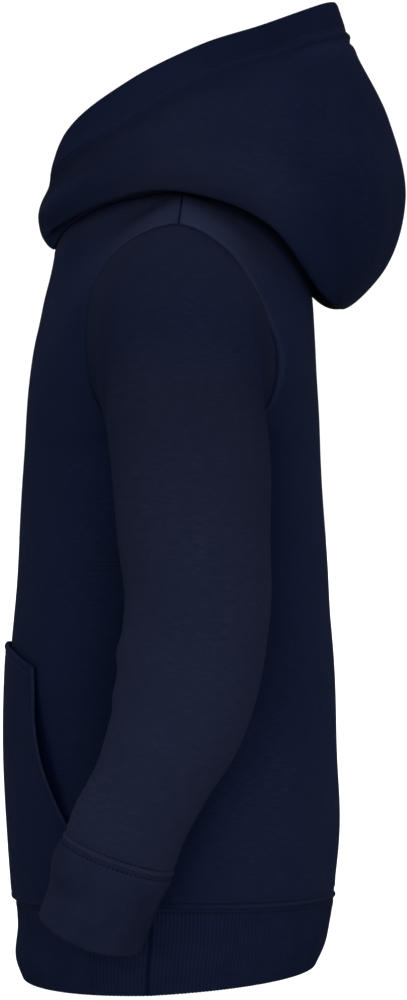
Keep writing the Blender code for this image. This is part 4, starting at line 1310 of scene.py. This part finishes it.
def thread_finish():
    """Sewing thread: two plies twisted, a little smoother than the cloth."""
    thread = Finish("sewing_thread", Specular_IOR_Level=0.05)
    plies = thread.noise(thread.place(), *PLIES)
    thread.bump(plies, PLY_BUMP)
    thread.colour(thread.mix(plies, THREAD_DEEP, THREAD_NAVY))
    thread.roughness(plies, rises=0.15, least=0.6)
    return thread.material


def floor_finish():
    """Plain pale floor paper with a very faint mottle, palest far away."""
    paper = Finish("floor_paper", Specular_IOR_Level=0.0)
    place = paper.place()
    mottle = paper.noise(place, *FLOOR_MOTTLE)
    away = paper.node("ShaderNodeVectorMath", {"operation": "LENGTH"}, {0: place}, output=1)
    pale = (away - FLOOR_NEAR) * (1 / (FLOOR_FAR - FLOOR_NEAR))
    near = paper.mix(mottle * 0.1, FLOOR_GREY, FLOOR_WHITE)
    paper.colour(paper.mix(pale, near, FLOOR_WHITE))
    paper.roughness(mottle, rises=0.1, least=0.85)
    return paper.material


# ---- camera, light and floor

def set_camera():
    """A level camera whose lens fills the frame's height with VIEW_HEIGHT at the garment's middle."""
    lens = bpy.data.cameras.new("camera")
    lens.sensor_width = SENSOR
    lens.lens = SENSOR * CAMERA_AWAY / VIEW_HEIGHT
    lens.clip_start, lens.clip_end = CAMERA_CLIPS
    camera = placed("camera", lens)
    camera.location = (CAMERA_AWAY, CAMERA_ACROSS, CAMERA_HEIGHT)
    camera.rotation_euler = (np.pi / 2, 0.0, np.pi / 2)
    bpy.context.scene.camera = camera


def set_lights():
    """Wide soft lights from far away, and a surround that is pale at eye level and dimmer above."""
    for name, side, height, strength, width in LIGHTS:
        lamp = bpy.data.lights.new(name, "SUN")
        lamp.energy, lamp.angle = strength, np.radians(width)
        placed(name, lamp).rotation_euler = np.radians((90.0 - height, 0.0, side + 90.0))
    world = bpy.data.worlds.new("surround")
    world.use_nodes = True
    tree = world.node_tree
    place = tree.nodes.new("ShaderNodeTexCoord")
    parts = tree.nodes.new("ShaderNodeSeparateXYZ")
    dimming = tree.nodes.new("ShaderNodeMapRange")
    dimming.interpolation_type = "SMOOTHSTEP"
    for socket, value in zip(dimming.inputs[1:5], SURROUND):
        socket.default_value = value
    tree.links.new(place.outputs["Generated"], parts.inputs[0])
    tree.links.new(parts.outputs["Z"], dimming.inputs[0])
    tree.links.new(dimming.outputs[0], tree.nodes["Background"].inputs["Strength"])
    tree.nodes["Background"].inputs["Color"].default_value = (1.0, 1.0, 1.0, 1.0)
    bpy.context.scene.world = world
    bpy.context.scene.view_settings.view_transform = "Standard"


def lay_floor():
    """A wide flat square at the height where the wearer would stand."""
    side = np.array([-FLOOR_REACH, FLOOR_REACH])
    x, y = np.meshgrid(side, side)
    points = np.stack([x, y, np.full(x.shape, FLOOR_HEIGHT)], axis=-1).reshape(-1, 3)
    mesh = bpy.data.meshes.new("floor")
    mesh.from_pydata(points, [], [(0, 1, 3, 2)])
    mesh.materials.append(floor_finish())
    placed("floor", mesh)


# ---- the whole garment

def complete(node, cut, rows, thread):
    """Sews a piece's rows of stitches and hides the solid it replaces."""
    knit = "rib_knit" if cut in ("hem_band", "cuff") else "sweat_knit"
    stitches = sew_stitches(node + "_stitches", rows, thread)
    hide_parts(node)


def plain_rows(piece):
    """A plain piece's rows of stitches: by the hood's tunnel, or beside the seam to a ribbed band."""
    outer, lean, up = piece["outer"], piece["lean"], piece["uv"][..., 1]
    if piece["cut"] == "hood":
        return [stitches_at(outer, lean, up - CLEAR_OF_HOLES, mark) for mark in TUNNEL_STITCHES]
    if piece["cut"] == "sleeve":
        return [stitches_at(outer, lean, -up[:, :-1], -STITCH_FROM_SEAM, closed=True)]
    return [stitches_at(outer, lean, up, STITCH_FROM_SEAM)]


def pocket_rows(outer, lean):
    """The pocket's rows of stitches: below its top edge and beside its mouths."""
    up, width = run(outer, 0), run(outer, 1)
    sideways = np.swapaxes(outer, 0, 1), np.swapaxes(lean, 0, 1)
    return [stitches_at(outer, lean, up - up[-1:], -POCKET_STITCHES),
            stitches_at(*sideways, width.T, POCKET_STITCHES),
            stitches_at(*sideways, (width - width[:, -1:]).T, -POCKET_STITCHES)]


def dress():
    """Makes every piece of cloth with its stitches."""
    cloth, thread = (jersey_finish(), fleece_finish()), thread_finish()
    for piece in sewn_pieces():
        made = sew(piece, cloth)
        complete(piece["node"], piece["cut"], plain_rows(piece), thread)
    made, outer, lean = sew_pocket(cloth)
    complete("pocket", "pocket", pocket_rows(outer, lean), thread)

    rings = [whole_section(section) for section in smooth(BAND, BAND_STEPS)]
    round_band = lengths(rings[0])
    side = round_band[CLOSE_POINTS] / round_band[-1]
    band = ribbed_band(rings, BAND_RIBS, BAND_RIB_HEIGHT, (side, 1 - side), BAND_PALE, warmth(BAND_PALE))
    angle = np.linspace(0, 360, 4 * CLOSE_POINTS, endpoint=False)
    rings = [limb_ring(section, angle) for section in smooth(CUFF, BAND_STEPS)]
    cuff = ribbed_band(rings, CUFF_RIBS, CUFF_RIB_HEIGHT, (0.0,), CUFF_PALE, warmth(CUFF_PALE, CUFF_WARM))
    band_knit = rib_finish("band_knit", BAND_VALLEY_SHARE)
    cuff_knit = rib_finish("cuff_knit", CUFF_VALLEY_SHARE)
    for node, cut, form, knit, mirror in (("hem_band", "hem_band", band, band_knit, np.ones(3)),
                                          ("cuff_left", "cuff", cuff, cuff_knit, np.ones(3)),
                                          ("cuff_right", "cuff", cuff, cuff_knit, MIRRORED)):
        points, parts, outer, lean = form
        made = make_piece(node + "_knit", points * with_tones(mirror, 1.0, 1.0, 1.0), parts, (knit,),
                          turned=mirror is MIRRORED)
        row = stitches_at(outer * mirror, lean * mirror, run(outer, 0), STITCH_FROM_SEAM, closed=True)
        complete(node, cut, [row], thread)


set_camera()
set_lights()
lay_floor()
dress()
